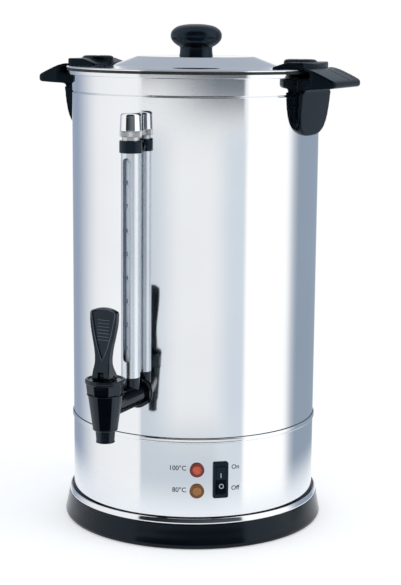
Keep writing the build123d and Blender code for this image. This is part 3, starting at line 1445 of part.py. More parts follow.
def lug(azimuth):
    """Black pad on the lid's flange with a round boss and two recessed screw seats."""
    pad_low = flange_top - lid_hem_h
    right = facing_out(azimuth, 0, 0).x_dir
    with BuildPart() as pad:
        with BuildSketch(Plane(origin=(0, 0, pad_low), x_dir=right, z_dir=(0, 0, 1))):
            with Locations((0, -(lug_in_r + lid_r) / 2)):
                RectangleRounded(2 * lug_half_w, lug_len, lug_corner_r)
        extrude(amount=lug_top - pad_low)
        with BuildSketch(side_on(azimuth)):
            with BuildLine():
                Polyline(
                    (lug_in_r, pad_low),
                    (lug_in_r, flange_top + lug_inner_h),
                    (lug_in_r + lug_slope_len, lug_top),
                    (lid_r, lug_top),
                    (lid_r, pad_low),
                    close=True,
                )
            make_face()
        extrude(amount=lug_half_w, both=True, mode=Mode.INTERSECT)
        with BuildSketch(Plane.XY.offset(lug_top - 1.0)):
            with Locations(polar(lug_boss_at, azimuth)):
                Circle(lug_boss_r)
        extrude(amount=lug_boss_rise + 1.0)
        chamfer(pad.edges().group_by(Axis.Z)[-1], 1.0)
        Cylinder(lid_r - 2 * seat_gap, 3 * flange_top, mode=Mode.INTERSECT)
        # underside that follows the lid's flange
        with BuildSketch(Plane.XZ):
            with BuildLine():
                Polyline(*[(r, z + seat_gap) for r, z in lid_top_line[4:7]], (lid_r + 1, flange_top - 0.4),
                         (lid_r + 1, pad_low - 1), (lid_cone_r, pad_low - 1), close=True)
            make_face()
        revolve(axis=Axis.Z, mode=Mode.SUBTRACT)
        with BuildSketch(Plane.XY.offset(pad_low)):
            with Locations(*[polar(rho, azimuth) for rho in lug_screw_at]):
                Circle(lug_screw_r + seat_gap)
        extrude(amount=2 * lug_h, mode=Mode.SUBTRACT)
        with BuildSketch(Plane.XY.offset(recess_z)):
            with Locations(*[polar(rho, azimuth) for rho in lug_screw_at]):
                Circle(lug_recess_r)
        extrude(amount=lug_h, mode=Mode.SUBTRACT)
    return pad


lug_right = lug(90)
lug_left = lug(-90)
save(lug_right, "lug_right")
save(lug_left, "lug_left")

lug_screw_planes = [
    Plane(origin=(place[0], place[1], recess_z), x_dir=(1, 0, 0), z_dir=(0, 0, 1))
    for place in lug_screw_places
]
screw_set("lug_screws", lug_screw_planes, lug_screw_r, recess_z - lid_under,
          lug_screw_head_r, lug_screw_head_h)
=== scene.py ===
"""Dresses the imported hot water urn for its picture: turned steel, moulded black parts, glass and a studio.

The frame is in metres. Outlines and sizes of the urn are in millimetres, which MM turns into metres;
those of the studio round it are in metres.
An azimuth is an angle about Z from the tap (-Y) towards the +X handle, as in the part's source.
"""

import json
from math import atan2, cos, degrees, hypot, pi, radians, sin

import bmesh
import bpy
from mathutils import Matrix, Vector


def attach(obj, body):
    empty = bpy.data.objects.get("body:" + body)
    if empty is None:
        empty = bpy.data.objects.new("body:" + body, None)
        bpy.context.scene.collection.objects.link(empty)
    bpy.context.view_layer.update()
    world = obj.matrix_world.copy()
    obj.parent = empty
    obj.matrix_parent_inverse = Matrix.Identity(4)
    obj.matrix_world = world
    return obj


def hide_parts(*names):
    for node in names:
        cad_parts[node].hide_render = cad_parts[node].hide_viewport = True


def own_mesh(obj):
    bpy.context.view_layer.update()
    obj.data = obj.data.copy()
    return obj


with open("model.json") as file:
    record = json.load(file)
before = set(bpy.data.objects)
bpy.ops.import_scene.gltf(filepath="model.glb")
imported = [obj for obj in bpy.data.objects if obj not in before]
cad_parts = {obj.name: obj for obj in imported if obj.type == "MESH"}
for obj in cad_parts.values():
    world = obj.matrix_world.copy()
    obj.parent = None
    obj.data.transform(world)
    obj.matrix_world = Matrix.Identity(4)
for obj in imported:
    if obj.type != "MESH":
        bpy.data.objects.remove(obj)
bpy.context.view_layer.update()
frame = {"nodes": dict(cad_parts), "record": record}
nodes = frame["nodes"]
scene = bpy.context.scene
MM = 0.001

# Places that several pieces share
WALL_R, WALL_IN_R = 125.0, 124.2
SWITCH_AZIMUTH, SWITCH_Z = 37.9, 68.2
LAMP_AZIMUTH, LAMP_HEIGHTS = 27.3, (78.7, 57.4)
TAP_Y = -191.0
GAUGE = (0.0, -140.5)


# ---------------------------------------------------------------- places
def outward(azimuth):
    """Direction away from the urn's axis at an azimuth."""
    return Vector((sin(radians(azimuth)), -cos(radians(azimuth)), 0))


def rightward(azimuth):
    """Direction to the right of someone who faces the urn at an azimuth."""
    return Vector((cos(radians(azimuth)), sin(radians(azimuth)), 0))


def radial(co):
    """Direction away from the urn's axis at a point."""
    return Vector((co.x, co.y, 0)).normalized()


# ---------------------------------------------------------------- outlines
def rectangle(low_a, low_b, high_a, high_b):
    return [(low_a, low_b), (high_a, low_b), (high_a, high_b), (low_a, high_b)]


def arc(centre_a, centre_b, radius, start, end, steps):
    """Points of an arc, angles in degrees from the outline's first axis."""
    angles = [radians(start + (end - start) * i / steps) for i in range(steps + 1)]
    return [(centre_a + radius * cos(angle), centre_b + radius * sin(angle)) for angle in angles]


def smooth_line(points, steps):
    """Catmull-Rom curve through an outline's points."""
    out = []
    for i in range(len(points) - 1):
        a = points[max(i - 1, 0)]
        b, c = points[i], points[i + 1]
        d = points[min(i + 2, len(points) - 1)]
        for k in range(steps):
            t = k / steps
            out.append(tuple(
                0.5 * (2 * q + (r - p) * t + (2 * p - 5 * q + 4 * r - s) * t * t
                       + (3 * q - p - 3 * r + s) * t ** 3)
                for p, q, r, s in zip(a, b, c, d)))
    out.append(tuple(points[-1]))
    return out


# ---------------------------------------------------------------- materials
NOISE_LOW, NOISE_HIGH = 0.3, 0.7        # most of a noise texture's values lie between these
finishes = {}


class Finish:
    """A node material built on one Principled shader, with its texture nodes in object space."""

    def __init__(self, name, **values):
        self.material = bpy.data.materials.new(name)
        self.material.use_nodes = True
        self.tree = self.material.node_tree
        self.shader = next(n for n in self.tree.nodes if n.type == "BSDF_PRINCIPLED")
        self.place = self.tree.nodes.new("ShaderNodeTexCoord").outputs["Object"]
        for socket, value in values.items():
            self.shader.inputs[socket.replace("_", " ")].default_value = value
        finishes[name] = self.material

    def node(self, kind, inputs):
        made = self.tree.nodes.new(kind)
        for name, value in inputs.items():
            made.inputs[name].default_value = value
        return made

    def link(self, source, target):
        self.tree.links.new(source, target)

    def noise(self, scale, detail, stretch=(1, 1, 1), rough=0.5):
        """Noise with a scale per metre, which can differ by axis."""
        mapping = self.node("ShaderNodeMapping", {"Scale": stretch})
        self.link(self.place, mapping.inputs["Vector"])
        noise = self.node("ShaderNodeTexNoise", {"Scale": scale, "Detail": detail, "Roughness": rough})
        self.link(mapping.outputs["Vector"], noise.inputs["Vector"])
        return noise.outputs["Fac"]

    def tones(self, value, low, high):
        """Base colour between two tones."""
        ramp = self.tree.nodes.new("ShaderNodeValToRGB")
        for end, position, colour in zip(ramp.color_ramp.elements, (NOISE_LOW, NOISE_HIGH), (low, high)):
            end.position = position
            end.color = (*colour, 1)
        self.link(value, ramp.inputs["Fac"])
        self.link(ramp.outputs["Color"], self.shader.inputs["Base Color"])

    def rough(self, value, low, high):
        spread = {"From Min": NOISE_LOW, "From Max": NOISE_HIGH, "To Min": low, "To Max": high}
        made = self.node("ShaderNodeMapRange", spread)
        self.link(value, made.inputs["Value"])
        self.link(made.outputs["Result"], self.shader.inputs["Roughness"])

    def bump(self, value, strength, depth_mm):
        made = self.node("ShaderNodeBump", {"Strength": strength, "Distance": depth_mm * MM})
        self.link(value, made.inputs["Height"])
        self.link(made.outputs["Normal"], self.shader.inputs["Normal"])


def steel(name, low, high, rough_low, rough_high, grain=(1, 1, 30), waves_mm=0.04, metallic=1.0):
    """Sheet or turned metal: cloudy tone, fine drawn grain in its roughness, faint waviness."""
    made = Finish(name, Metallic=metallic)
    made.tones(made.noise(9, 3), low, high)
    made.rough(made.noise(140, 4, grain, 0.6), rough_low, rough_high)
    made.bump(made.noise(14, 1), 0.25, waves_mm)


def plastic(name, low, high, rough_low, rough_high, bump=0.12, **gloss):
    """Moulded plastic, rubber or ink with a fine spark-eroded grain."""
    grain_mm, grain_depth_mm = 0.35, 0.03
    made = Finish(name, **gloss)
    made.tones(made.noise(60, 4), low, high)
    made.rough(made.noise(300, 3), rough_low, rough_high)
    made.bump(made.noise(1000 / grain_mm, 2), bump, grain_depth_mm)


def black(name, high, rough_low, rough_high, bump, gloss, tint, low=(0.001, 0.002, 0.004)):
    """Black moulding whose gloss has a strength and a tint of its own."""
    plastic(name, low, high, rough_low, rough_high, bump,
            Specular_IOR_Level=gloss, Specular_Tint=(*tint, 1.0))


def lens(name, dark, light):
    """Translucent lens under a clear coat."""
    made = Finish(name, Coat_Weight=0.6, Coat_Roughness=0.08)
    made.tones(made.noise(500, 2), dark, light)
    made.rough(made.noise(300, 2), 0.18, 0.3)


steel("polished_steel", (0.79, 0.81, 0.84), (0.83, 0.85, 0.87), 0.055, 0.10)
steel("bare_steel", (0.50, 0.51, 0.53), (0.60, 0.61, 0.62), 0.25, 0.38)
steel("inner_steel", (0.52, 0.53, 0.55), (0.60, 0.61, 0.63), 0.35, 0.45, metallic=0.25)
steel("aluminium", (0.62, 0.66, 0.71), (0.68, 0.72, 0.77), 0.22, 0.29, (1, 1, 0.06))
steel("element_sheath", (0.20, 0.17, 0.15), (0.36, 0.33, 0.31), 0.35, 0.5)
steel("chrome", (0.80, 0.82, 0.84), (0.86, 0.87, 0.89), 0.03, 0.07, waves_mm=0.0)
steel("brass", (0.62, 0.46, 0.20), (0.74, 0.58, 0.30), 0.22, 0.34)

BLUE_SHEEN, PALE_SHEEN = (0.45, 0.75, 1.0), (0.62, 0.82, 1.0)
black("black_plastic", (0.004, 0.006, 0.010), 0.20, 0.28, 0.05, 0.33, BLUE_SHEEN, (0.002, 0.003, 0.006))
black("handle_black", (0.002, 0.004, 0.007), 0.20, 0.28, 0.05, 0.16, BLUE_SHEEN)
black("glossy_black", (0.002, 0.003, 0.005), 0.09, 0.14, 0.02, 0.45, PALE_SHEEN)
black("ring_black", (0.002, 0.003, 0.005), 0.09, 0.14, 0.02, 0.28, PALE_SHEEN)
# Lighter blue-grey for the lever's rim and ridges: painted highlight along their edges
plastic("painted_edge_highlight", (0.05, 0.065, 0.085), (0.08, 0.10, 0.13), 0.15, 0.25, 0.02)
plastic("phenolic", (0.06, 0.045, 0.038), (0.10, 0.08, 0.07), 0.4, 0.55)
plastic("silicone", (0.62, 0.61, 0.57), (0.72, 0.71, 0.68), 0.45, 0.6)
plastic("rubber", (0.012, 0.012, 0.012), (0.028, 0.028, 0.028), 0.6, 0.8)
plastic("lamp_rim_red", (0.14, 0.018, 0.010), (0.24, 0.045, 0.015), 0.15, 0.25)
plastic("lamp_rim_brown", (0.13, 0.045, 0.010), (0.21, 0.075, 0.015), 0.15, 0.25)

plastic("ink_grey", (0.012, 0.012, 0.016), (0.025, 0.025, 0.03), 0.4, 0.5)
plastic("ink_blue", (0.010, 0.06, 0.30), (0.02, 0.09, 0.40), 0.35, 0.45)
plastic("ink_pale", (0.40, 0.52, 0.66), (0.50, 0.62, 0.75), 0.4, 0.5)

lens("red_lens", (0.55, 0.05, 0.018), (0.72, 0.10, 0.04))
lens("amber_lens", (0.30, 0.11, 0.012), (0.42, 0.18, 0.03))

glass = Finish("clear_glass", IOR=1.47, Transmission_Weight=0.12)
glass.tones(glass.noise(40, 2), (0.70, 0.79, 0.89), (0.78, 0.86, 0.94))
glass.rough(glass.noise(200, 2), 0.0, 0.02)


def dress(node, look):
    """Gives a CAD node a finish; each has one material slot."""
    nodes[node].material_slots[0].material = finishes[look]


for entry in frame["record"]["subparts"]:
    dress(entry["node"], entry["material_slot"])
dress("tap_body", "glossy_black")
dress("boil_lamp_bezel", "lamp_rim_red")
dress("warm_lamp_bezel", "lamp_rim_brown")


# ---------------------------------------------------------------- meshes
def as_mesh(bm, name):
    mesh = bpy.data.meshes.new(name)
    bm.to_mesh(mesh)
    bm.free()
    return mesh


def as_solid(bm, name):
    """Mesh whose faces all look outwards."""
    bmesh.ops.recalc_face_normals(bm, faces=bm.faces)
    return as_mesh(bm, name)


def lathe_mesh(name, profile, steps=256, centre=(0.0, 0.0)):
    """Turned solid from a closed profile in (radius, height); points on the axis become poles."""
    pole_r = 1e-4
    bm = bmesh.new()
    rings = []
    for radius, height in profile:
        if radius < pole_r:
            rings.append([bm.verts.new((centre[0] * MM, centre[1] * MM, height * MM))])
        else:
            rings.append([bm.verts.new(((centre[0] + radius * cos(2 * pi * k / steps)) * MM,
                                        (centre[1] + radius * sin(2 * pi * k / steps)) * MM,
                                        height * MM)) for k in range(steps)])
    pairs = list(zip(rings, rings[1:]))
    if profile[0][0] > pole_r or profile[-1][0] > pole_r:
        pairs.append((rings[-1], rings[0]))
    for low, high in pairs:
        if len(low) == 1 and len(high) == 1:
            continue
        for k in range(steps):
            j = (k + 1) % steps
            if len(low) == 1:
                bm.faces.new((low[0], high[j], high[k]))
            elif len(high) == 1:
                bm.faces.new((low[k], low[j], high[0]))
            else:
                bm.faces.new((low[k], low[j], high[j], high[k]))
    return as_solid(bm, name)


def drum(name, radius, low, high, steps=256):
    """Round block about the urn's axis."""
    return lathe_mesh(name, rectangle(0, low, radius, high), steps)


def box_mesh(name, azimuth, rho, height, half_wide, half_high, half_deep):
    """Block whose middle is at an azimuth, radius and height, square to that direction."""
    right, out, up = rightward(azimuth), outward(azimuth), Vector((0, 0, 1))
    middle = out * rho + up * height
    bm = bmesh.new()
    bmesh.ops.create_cube(bm, size=2)
    for v in bm.verts:
        v.co = (middle + right * v.co.x * half_wide + out * v.co.y * half_deep
                + up * v.co.z * half_high) * MM
    return as_solid(bm, name)


def rod_mesh(name, azimuth, rho, height, radius, half_deep):
    """Round bar that points outwards at an azimuth."""
    right, out, up = rightward(azimuth), outward(azimuth), Vector((0, 0, 1))
    middle = out * rho + up * height
    bm = bmesh.new()
    bmesh.ops.create_cone(bm, cap_ends=True, segments=48, radius1=radius, radius2=radius, depth=2 * half_deep)
    for v in bm.verts:
        v.co = (middle + right * v.co.x + up * v.co.y + out * v.co.z) * MM
    return as_solid(bm, name)


def bridged(name, loops):
    """Closed solid between two loops that have the same number of points."""
    bm = bmesh.new()
    low, high = [[bm.verts.new((x * MM, y * MM, z * MM)) for x, y, z in loop] for loop in loops]
    bm.faces.new(low)
    bm.faces.new(high)
    for k in range(len(low)):
        j = (k + 1) % len(low)
        bm.faces.new((low[k], low[j], high[j], high[k]))
    return as_solid(bm, name)


def prism_mesh(name, outline, axis, low, high):
    """Straight block from an outline, pushed along an axis; the outline lies in the other two axes."""
    def at(level):
        return [(*point[:axis], level, *point[axis:]) for point in outline]
    return bridged(name, (at(low), at(high)))


def joined(meshes, name):
    bm = bmesh.new()
    for mesh in meshes:
        bm.from_mesh(mesh)
    return as_mesh(bm, name)


def mirrored(mesh, name):
    """Left-hand copy of a right-hand mesh."""
    bm = bmesh.new()
    bm.from_mesh(mesh)
    for v in bm.verts:
        v.co.x = -v.co.x
    bmesh.ops.reverse_faces(bm, faces=bm.faces)
    return as_mesh(bm, name)


def temporary(data):
    made = bpy.data.objects.new(data.name, data)
    scene.collection.objects.link(made)
    return made


def applied(holder):
    """Mesh of an object with its modifiers, bevel or lettering applied."""
    done = bpy.data.meshes.new_from_object(holder.evaluated_get(bpy.context.evaluated_depsgraph_get()))
    done.name = holder.name
    return done


def baked(data):
    """Mesh of a curve or of lettering."""
    holder = temporary(data)
    done = applied(holder)
    bpy.data.objects.remove(holder)
    return done


def cut(mesh, cutters, bounds=()):
    """Mesh with closed cutter meshes taken away from it, kept inside closed bounding meshes."""
    piece = temporary(mesh)
    tools = [temporary(c) for c in (*bounds, *cutters)]
    for index, tool in enumerate(tools):
        change = piece.modifiers.new("cut", "BOOLEAN")
        change.operation = "INTERSECT" if index < len(bounds) else "DIFFERENCE"
        change.solver = "EXACT"
        change.object = tool
    done = applied(piece)
    for spent in [piece, *tools]:
        bpy.data.objects.remove(spent)
    return done


def softened(meshes, voxel_mm, rounds, name):
    """Joins closed meshes into one skin and eases its corners, as a moulding has them."""
    piece = temporary(joined(meshes, name))
    skin = piece.modifiers.new("skin", "REMESH")
    skin.mode = "VOXEL"
    skin.voxel_size = voxel_mm * MM
    ease = piece.modifiers.new("ease", "SMOOTH")
    ease.factor = 0.5
    ease.iterations = rounds
    done = applied(piece)
    bpy.data.objects.remove(piece)
    return done


def true_normals(mesh, normal_at, within=25):
    """Gives faces that follow a turned surface, to within an angle, that surface's exact normals."""
    custom = []
    limit = cos(radians(within))
    for polygon in mesh.polygons:
        flat = polygon.normal
        for loop in polygon.loop_indices:
            wanted = normal_at(mesh.vertices[mesh.loops[loop].vertex_index].co)
            if wanted is not None and abs(flat.dot(wanted)) > limit:
                custom.append(wanted if flat.dot(wanted) > 0 else -wanted)
            else:
                custom.append(mesh.corner_normals[loop].vector.copy())
    mesh.normals_split_custom_set(custom)


def add_piece(name, mesh, body, look, replaced, sharp_from):
    """Links a mesh as a piece that moves with a body; edges turn sharp from an angle in degrees."""
    piece = bpy.data.objects.new(name, mesh)
    scene.collection.objects.link(piece)
    mesh.materials.clear()
    mesh.materials.append(finishes[look])
    mesh.shade_smooth()
    mesh.set_sharp_from_angle(angle=radians(sharp_from))
    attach(piece, body)
    if replaced:
        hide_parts(*replaced)
    return piece


# ---------------------------------------------------------------- tank and base
# Tank: sheet wall with its pressed groove and rolled rim, satin on its inner face
TANK_LOW, BETWEEN_FACES_R = 106.2, 124.5
tank_profile = (
    [(WALL_R, z) for z in (TANK_LOW, 150, 250, 350)]
    + smooth_line([(WALL_R, 437.8), (124.75, 438.3), (123.9, 438.9), (124.75, 439.5), (WALL_R, 440.0)], 5)
    + [(WALL_R, 448.0)] + arc(126.8, 458.2, 2.6, -133.8, 180, 24)
    + [(WALL_IN_R, 455.0), (WALL_IN_R, 441.0)]
    + smooth_line([(WALL_IN_R, 440.4), (123.9, 439.7), (123.1, 438.9), (123.9, 438.1), (WALL_IN_R, 437.4)], 4)
    + [(WALL_IN_R, 350), (WALL_IN_R, TANK_LOW)]
)
tank = lathe_mesh("tank", tank_profile, 360)
add_piece("tank", tank, "urn", "polished_steel", ["tank_wall"], 50)
tank.materials.append(finishes["inner_steel"])
for polygon in tank.polygons:
    middle = polygon.center
    if hypot(middle.x, middle.y) < BETWEEN_FACES_R * MM and polygon.normal.dot(radial(middle)) < 0:
        polygon.material_index = 1

# Control band with its swaged bead, open for the switch and the lamps; behind, it closes the inlet's cavity
band_profile = (
    [(WALL_R, 22.0), (WALL_R, 60.0), (WALL_R, 104.4)]
    + smooth_line([(125.05, 105.0), (125.9, 105.5), (126.2, 106.6), (126.2, 108.4), (125.95, 109.6),
                   (125.3, 110.0)], 4)
    + [(125.1, 109.9), (125.1, 106.2), (123.8, 106.2), (WALL_IN_R, 105.0), (WALL_IN_R, 22.0)]
)
SWITCH_HALF_W, SWITCH_HALF_H, LAMP_R, WAY_HALF_DEEP = 6.7, 15.7, 5.9, 12.0
openings = [box_mesh("switch_way", SWITCH_AZIMUTH, WALL_R, SWITCH_Z, SWITCH_HALF_W, SWITCH_HALF_H,
                     WAY_HALF_DEEP)]
openings += [rod_mesh("lamp_way", LAMP_AZIMUTH, WALL_R, height, LAMP_R, WAY_HALF_DEEP)
             for height in LAMP_HEIGHTS]
band = cut(lathe_mesh("band", band_profile, 360), openings)
add_piece("band", band, "urn", "polished_steel", ["control_band"], 50)

# Exact normals on the straight steel; the rim's roll takes them too, so that it mirrors what the wall does
BEAD_LOW, GROOVE_LOW, GROOVE_HIGH = 104.5 * MM, 437.9 * MM, 439.9 * MM
WALL_TOP, ROLL_LOW, ROLL_R = 456.4 * MM, 456.2 * MM, 124.9 * MM
true_normals(band, lambda co: radial(co) if co.z < BEAD_LOW else None)
true_normals(tank, lambda co: radial(co) if co.z < GROOVE_LOW or GROOVE_HIGH < co.z < WALL_TOP else None, 4)
true_normals(tank, lambda co: radial(co) if co.z > ROLL_LOW and hypot(co.x, co.y) > ROLL_R else None, 80)

# Thin dark rings of painted shade, in the rubber finish: the shade under the lid's edge and a painted shadow
# over the band's bead
lid_edge_shade_profile = [(129.42, 459.6), (129.6, 459.6), (129.78, 459.9), (129.78, 462.0), (129.6, 462.2),
                 (129.42, 462.2)]
for name, profile in (("lid_edge_painted_shade", lid_edge_shade_profile), ("seam_shadow", rectangle(124.9, 109.6, 125.42, 110.5))):
    add_piece(name, lathe_mesh(name, profile, 360), "urn", "rubber", (), 30)

# Foot ring and its bright trim
ring_profile = (
    smooth_line([(130.9, 0.0), (132.2, 0.35), (133.3, 1.5), (133.9, 3.8)], 4)
    + smooth_line([(133.85, 4.2), (132.7, 9.5), (131.72, 14.5), (130.75, 19.5), (129.9, 24.2)], 5)
    + [(129.75, 24.8), (129.3, 25.0), (127.3, 25.0), (127.3, 27.2), (127.0, 27.5), (125.5, 27.5),
       (125.3, 27.3), (125.3, 22.0), (104.3, 22.0), (104.3, 19.0), (127.4, 19.0), (131.4, 3.8), (128.4, 0.0)]
)
add_piece("foot_ring", lathe_mesh("foot_ring", ring_profile, 360), "urn", "ring_black",
          ["base_ring"], 40)
trim_profile = [(127.35, 25.0), (129.5, 25.0), (129.58, 25.2), (129.58, 25.9), (129.5, 26.3),
                (129.35, 26.6), (129.25, 26.9), (128.45, 29.3), (128.3, 29.65), (128.05, 29.9),
                (127.75, 30.0), (127.45, 29.9)]
add_piece("trim", lathe_mesh("trim", trim_profile, 360), "urn", "polished_steel",
          ["base_trim"], 50)

# ---------------------------------------------------------------- lid and handles
# Lid: one pressed sheet, flange, cone and raised middle
lid_profile = (
    [(2.55, 474.2), (30.0, 474.2)]
    + smooth_line([(57.5, 474.2), (59.6, 474.05), (61.6, 473.4)], 4)
    + [(73.0, 469.1)]
    + smooth_line([(81.5, 465.9), (84.5, 464.9), (87.5, 464.4), (92.0, 464.15)], 5)
    + smooth_line([(108.0, 464.05), (127.3, 463.9), (129.4, 463.75), (130.45, 463.35), (130.7, 462.9)], 5)
    + [(130.7, 462.6), (130.6, 462.35), (130.3, 462.3), (130.0, 462.4), (129.85, 462.6), (129.3, 462.8),
       (92.0, 463.4), (87.8, 463.65), (84.4, 464.2), (60.1, 473.0), (58.4, 473.4), (2.55, 473.4)]
)
add_piece("lid_sheet", lathe_mesh("lid_sheet", lid_profile, 360), "lid", "polished_steel",
          ["lid_shell"], 50)

knob_profile = (
    [(0.0, 488.0), (2.55, 488.0), (2.55, 474.0), (17.0, 474.0)]
    + smooth_line([(17.0, 474.3), (16.5, 477.5), (16.3, 481.3), (16.7, 483.2), (19.6, 485.0), (22.8, 487.6),
                   (25.0, 490.6), (25.8, 494.0), (25.1, 498.0), (22.0, 501.6), (17.0, 504.2),
                   (9.0, 505.7), (3.0, 506.0)], 6)
    + [(0.0, 506.0)]
)
add_piece("knob", lathe_mesh("knob", knob_profile, 128), "lid", "black_plastic",
          ["lid_knob"], 60)

# Handles: grip and tongue in one soft-edged moulding, made for the right and mirrored for the left
GRIP_HALF, GRIP_REACH, GRIP_CORNER = 38.5, 163.5, 6.0
GROOVE_PLACES, GROOVE_HALF = (8.0, 26.0), 0.75
LUG_HALF, LUG_REACH, LUG_CORNER = 35.0, 133.9, 7.0
LUG_AT, RECESS_OFF = 113.0, 7.5
CUT_LOW, CUT_HIGH = 390, 480            # the blocks that cut handles and lugs reach past them
WALL_BLOCK_TOP, MOUTH_LOW = 462.5, 458.5


def both_ways(half):
    """Outline of a form that is the same on both sides, from the half of it at +Y."""
    return half + [(x, -y) for x, y in reversed(half)]


grip_side = (
    [(113.0, 399.0), (126.6, 399.0), (128.6, 415.0), (131.0, 438.5)]
    + smooth_line([(131.0, 438.5), (131.6, 442.2), (133.4, 444.6), (137.0, 445.2)], 4)
    + smooth_line([(158.5, 446.2), (161.8, 447.2), (163.4, 449.8), (162.8, 452.3), (160.0, 454.4),
                   (147.0, 460.4), (138.0, 464.0), (133.0, 465.3)], 5)
    + [(113.0, 465.5)]
)
tongue_half = smooth_line([(38.5, 440.0), (37.6, 424.0), (34.2, 411.5), (27.0, 403.6), (15.0, 399.8),
                           (0.0, 399.0)], 5)
tongue_front = (tongue_half + [(-y, z) for y, z in reversed(tongue_half[:-1])]
                + [(-39.5, 470.0), (39.5, 470.0)])
grip_plan = both_ways(
    [(113.0, 29.5), (121.0, 30.5), (124.5, 33.0), (126.5, 36.5), (127.5, GRIP_HALF)]
    + arc(GRIP_REACH - GRIP_CORNER, GRIP_HALF - GRIP_CORNER, GRIP_CORNER, 90, 0, 6))
shoulder = [(105.3, 30.8), (128.1, 33.6), (139.2, 38.1), (141.3, 47.2), (105.3, 47.2)]
groove_side = [(139.0, 463.0), (147.0, 459.4), (154.0, 456.0), (160.2, 452.6), (164.0, 458.0),
               (150.0, 468.0), (139.0, 468.0)]

blank = prism_mesh("handle", grip_side, 1, -GRIP_HALF - 0.5, GRIP_HALF + 0.5)
handle = cut(blank, [
    drum("wall", 121.0, CUT_LOW, WALL_BLOCK_TOP),
    drum("mouth", LUG_REACH + 0.6, MOUTH_LOW, CUT_HIGH),
    prism_mesh("slot", rectangle(0, 455.9, 137.0, 461.6), 1, -45, 45),
], [
    prism_mesh("front", tongue_front, 0, 100, 170),
    prism_mesh("plan", grip_plan, 2, 395, 470),
])
# Narrower towards the tank
handle = cut(handle, [prism_mesh("shoulder", [(x, way * y) for x, y in shoulder], 2, 441.9, 478.3)
                      for way in (1, -1)])
handle_cuts = [drum("wall", WALL_R + 0.05, CUT_LOW, WALL_BLOCK_TOP, 360)]
handle_cuts += [prism_mesh("groove", groove_side, 1, y - GROOVE_HALF, y + GROOVE_HALF) for y in GROOVE_PLACES]
handle = cut(softened([handle], 0.7, 14, "moulded_handle"), handle_cuts)
add_piece("moulded_handle_left", mirrored(handle, "moulded_handle_left"), "urn", "handle_black",
          ["handle_left"], 80)
add_piece("moulded_handle_right", handle, "urn", "handle_black", ["handle_right"], 80)

# Lugs: plates with a round boss that lie over the lid's edge, again made for the right
lug_side = [(97.4, 460.5), (97.6, 465.6), (99.5, 466.4), (111.5, 470.2), (114.0, 470.5), (129.5, 470.5),
            (132.6, 469.6), (134.5, 466.8), (134.5, 460.5)]
lug_plan = both_ways([(90.0, LUG_HALF)] + arc(132.0 - LUG_CORNER, LUG_HALF - LUG_CORNER, LUG_CORNER, 90, 0, 6)
                     + [(134.5, 20.0)])
plate = cut(prism_mesh("lug", lug_side, 1, -LUG_HALF, LUG_HALF), [],
            [drum("edge", LUG_REACH, 460, CUT_HIGH), prism_mesh("plan", lug_plan, 2, 455, CUT_HIGH)])
boss_profile = [(0, 462.5), (16.4, 462.5), (16.4, 470.5), (15.6, 472.2), (13.6, 473.0), (0, 473.0)]
boss = lathe_mesh("boss", boss_profile, 96, (LUG_AT, 0.0))
under_sheet = [(0, 450), (140.0, 450), (140.0, 463.2), (130.9, 463.2), (129.4, 463.6), (127.3, 463.75),
               (108.0, 463.9), (92.0, 464.0), (0, 464.0)]
recess_profile = [(0, 469.6), (4.2, 469.6), (5.0, 471.4), (5.4, 475.0), (0, 475.0)]
lug_cuts = [lathe_mesh("sheet", under_sheet, 360)]
lug_cuts += [lathe_mesh("recess", recess_profile, 64, (LUG_AT + way * RECESS_OFF, 0.0))
             for way in (-1, 1)]
lug = cut(softened([plate, boss], 0.55, 22, "moulded_lug"), lug_cuts)
add_piece("moulded_lug_left", mirrored(lug, "moulded_lug_left"), "lid", "handle_black",
          ["lug_left"], 80)
add_piece("moulded_lug_right", lug, "lid", "handle_black", ["lug_right"], 80)

# ---------------------------------------------------------------- tap
# Bonnet with a rolled lip, and flats round its skirt
FLATS, FLAT_TURN, FLAT_SHARE = 8, 8.0, 0.93
FLAT_LOW, FLAT_HIGH, FLAT_FROM_R = 166.5, 176.1, 16.0
bonnet_profile = (
    [(14.55, 165.6), (17.2, 165.6), (17.4, 166.0), (17.2, 166.4), (16.9, 166.6), (17.2, 168.0), (18.1, 176.0),
     (18.3, 176.6)]
    + smooth_line([(18.3, 176.6), (18.8, 177.1), (18.95, 178.2), (18.85, 179.8), (18.3, 180.6), (17.5, 180.8),
                   (16.7, 180.5), (16.2, 179.5)], 3)
    + [(2.35, 179.5), (2.35, 177.3), (14.55, 177.3)]
)
bonnet = lathe_mesh("bonnet", bonnet_profile, 192, (0.0, TAP_Y))
for v in bonnet.vertices:
    away = Vector((v.co.x, v.co.y - TAP_Y * MM, 0))
    if FLAT_LOW * MM < v.co.z < FLAT_HIGH * MM and away.length > FLAT_FROM_R * MM:
        off_flat = (degrees(atan2(away.y, away.x)) + FLAT_TURN) % (360 / FLATS) - 180 / FLATS
        v.co -= away * (1 - FLAT_SHARE / max(cos(radians(off_flat)), FLAT_SHARE))
add_piece("bonnet", bonnet, "urn", "glossy_black", ["tap_bonnet"], 25)


# Lever: softened copy of the CAD's, with a petal-shaped dish, a rim round it and ridges across it; rim and
# ridges are a lighter grey that is painted highlight
def paddle_y(height):
    """Front face of the lever's paddle at a height."""
    return -197.3 + 3.2 * (height - 197.5) / 50.5


PETAL_MID, DISH_DEEP = 225.0, 1.5
RIM_OUT, RIM_R, RIM_SINK = 0.55, 0.5, 0.1
RIDGES, RIDGE_TOP, RIDGE_PITCH = 7, 236.5, 3.1
RIDGE_HALF_W, RIDGE_HALF_H, RIDGE_FRONT, RIDGE_BACK = 6.2, 0.3, 0.85, 2.5     # the last two behind paddle_y
petal_half = smooth_line([(0.0, 199.0), (3.2, 206.0), (6.4, 216.5), (9.2, 228.0), (11.4, 238.0),
                          (11.9, 242.3), (10.3, 244.6), (5.5, 246.0), (0.0, 246.4)], 4)
petal = petal_half + [(-x, z) for x, z in reversed(petal_half[1:-1])]
dish = bridged("dish", ([(x, -215.0, z) for x, z in petal],
                        [(x, paddle_y(z) + DISH_DEEP, z) for x, z in petal]))

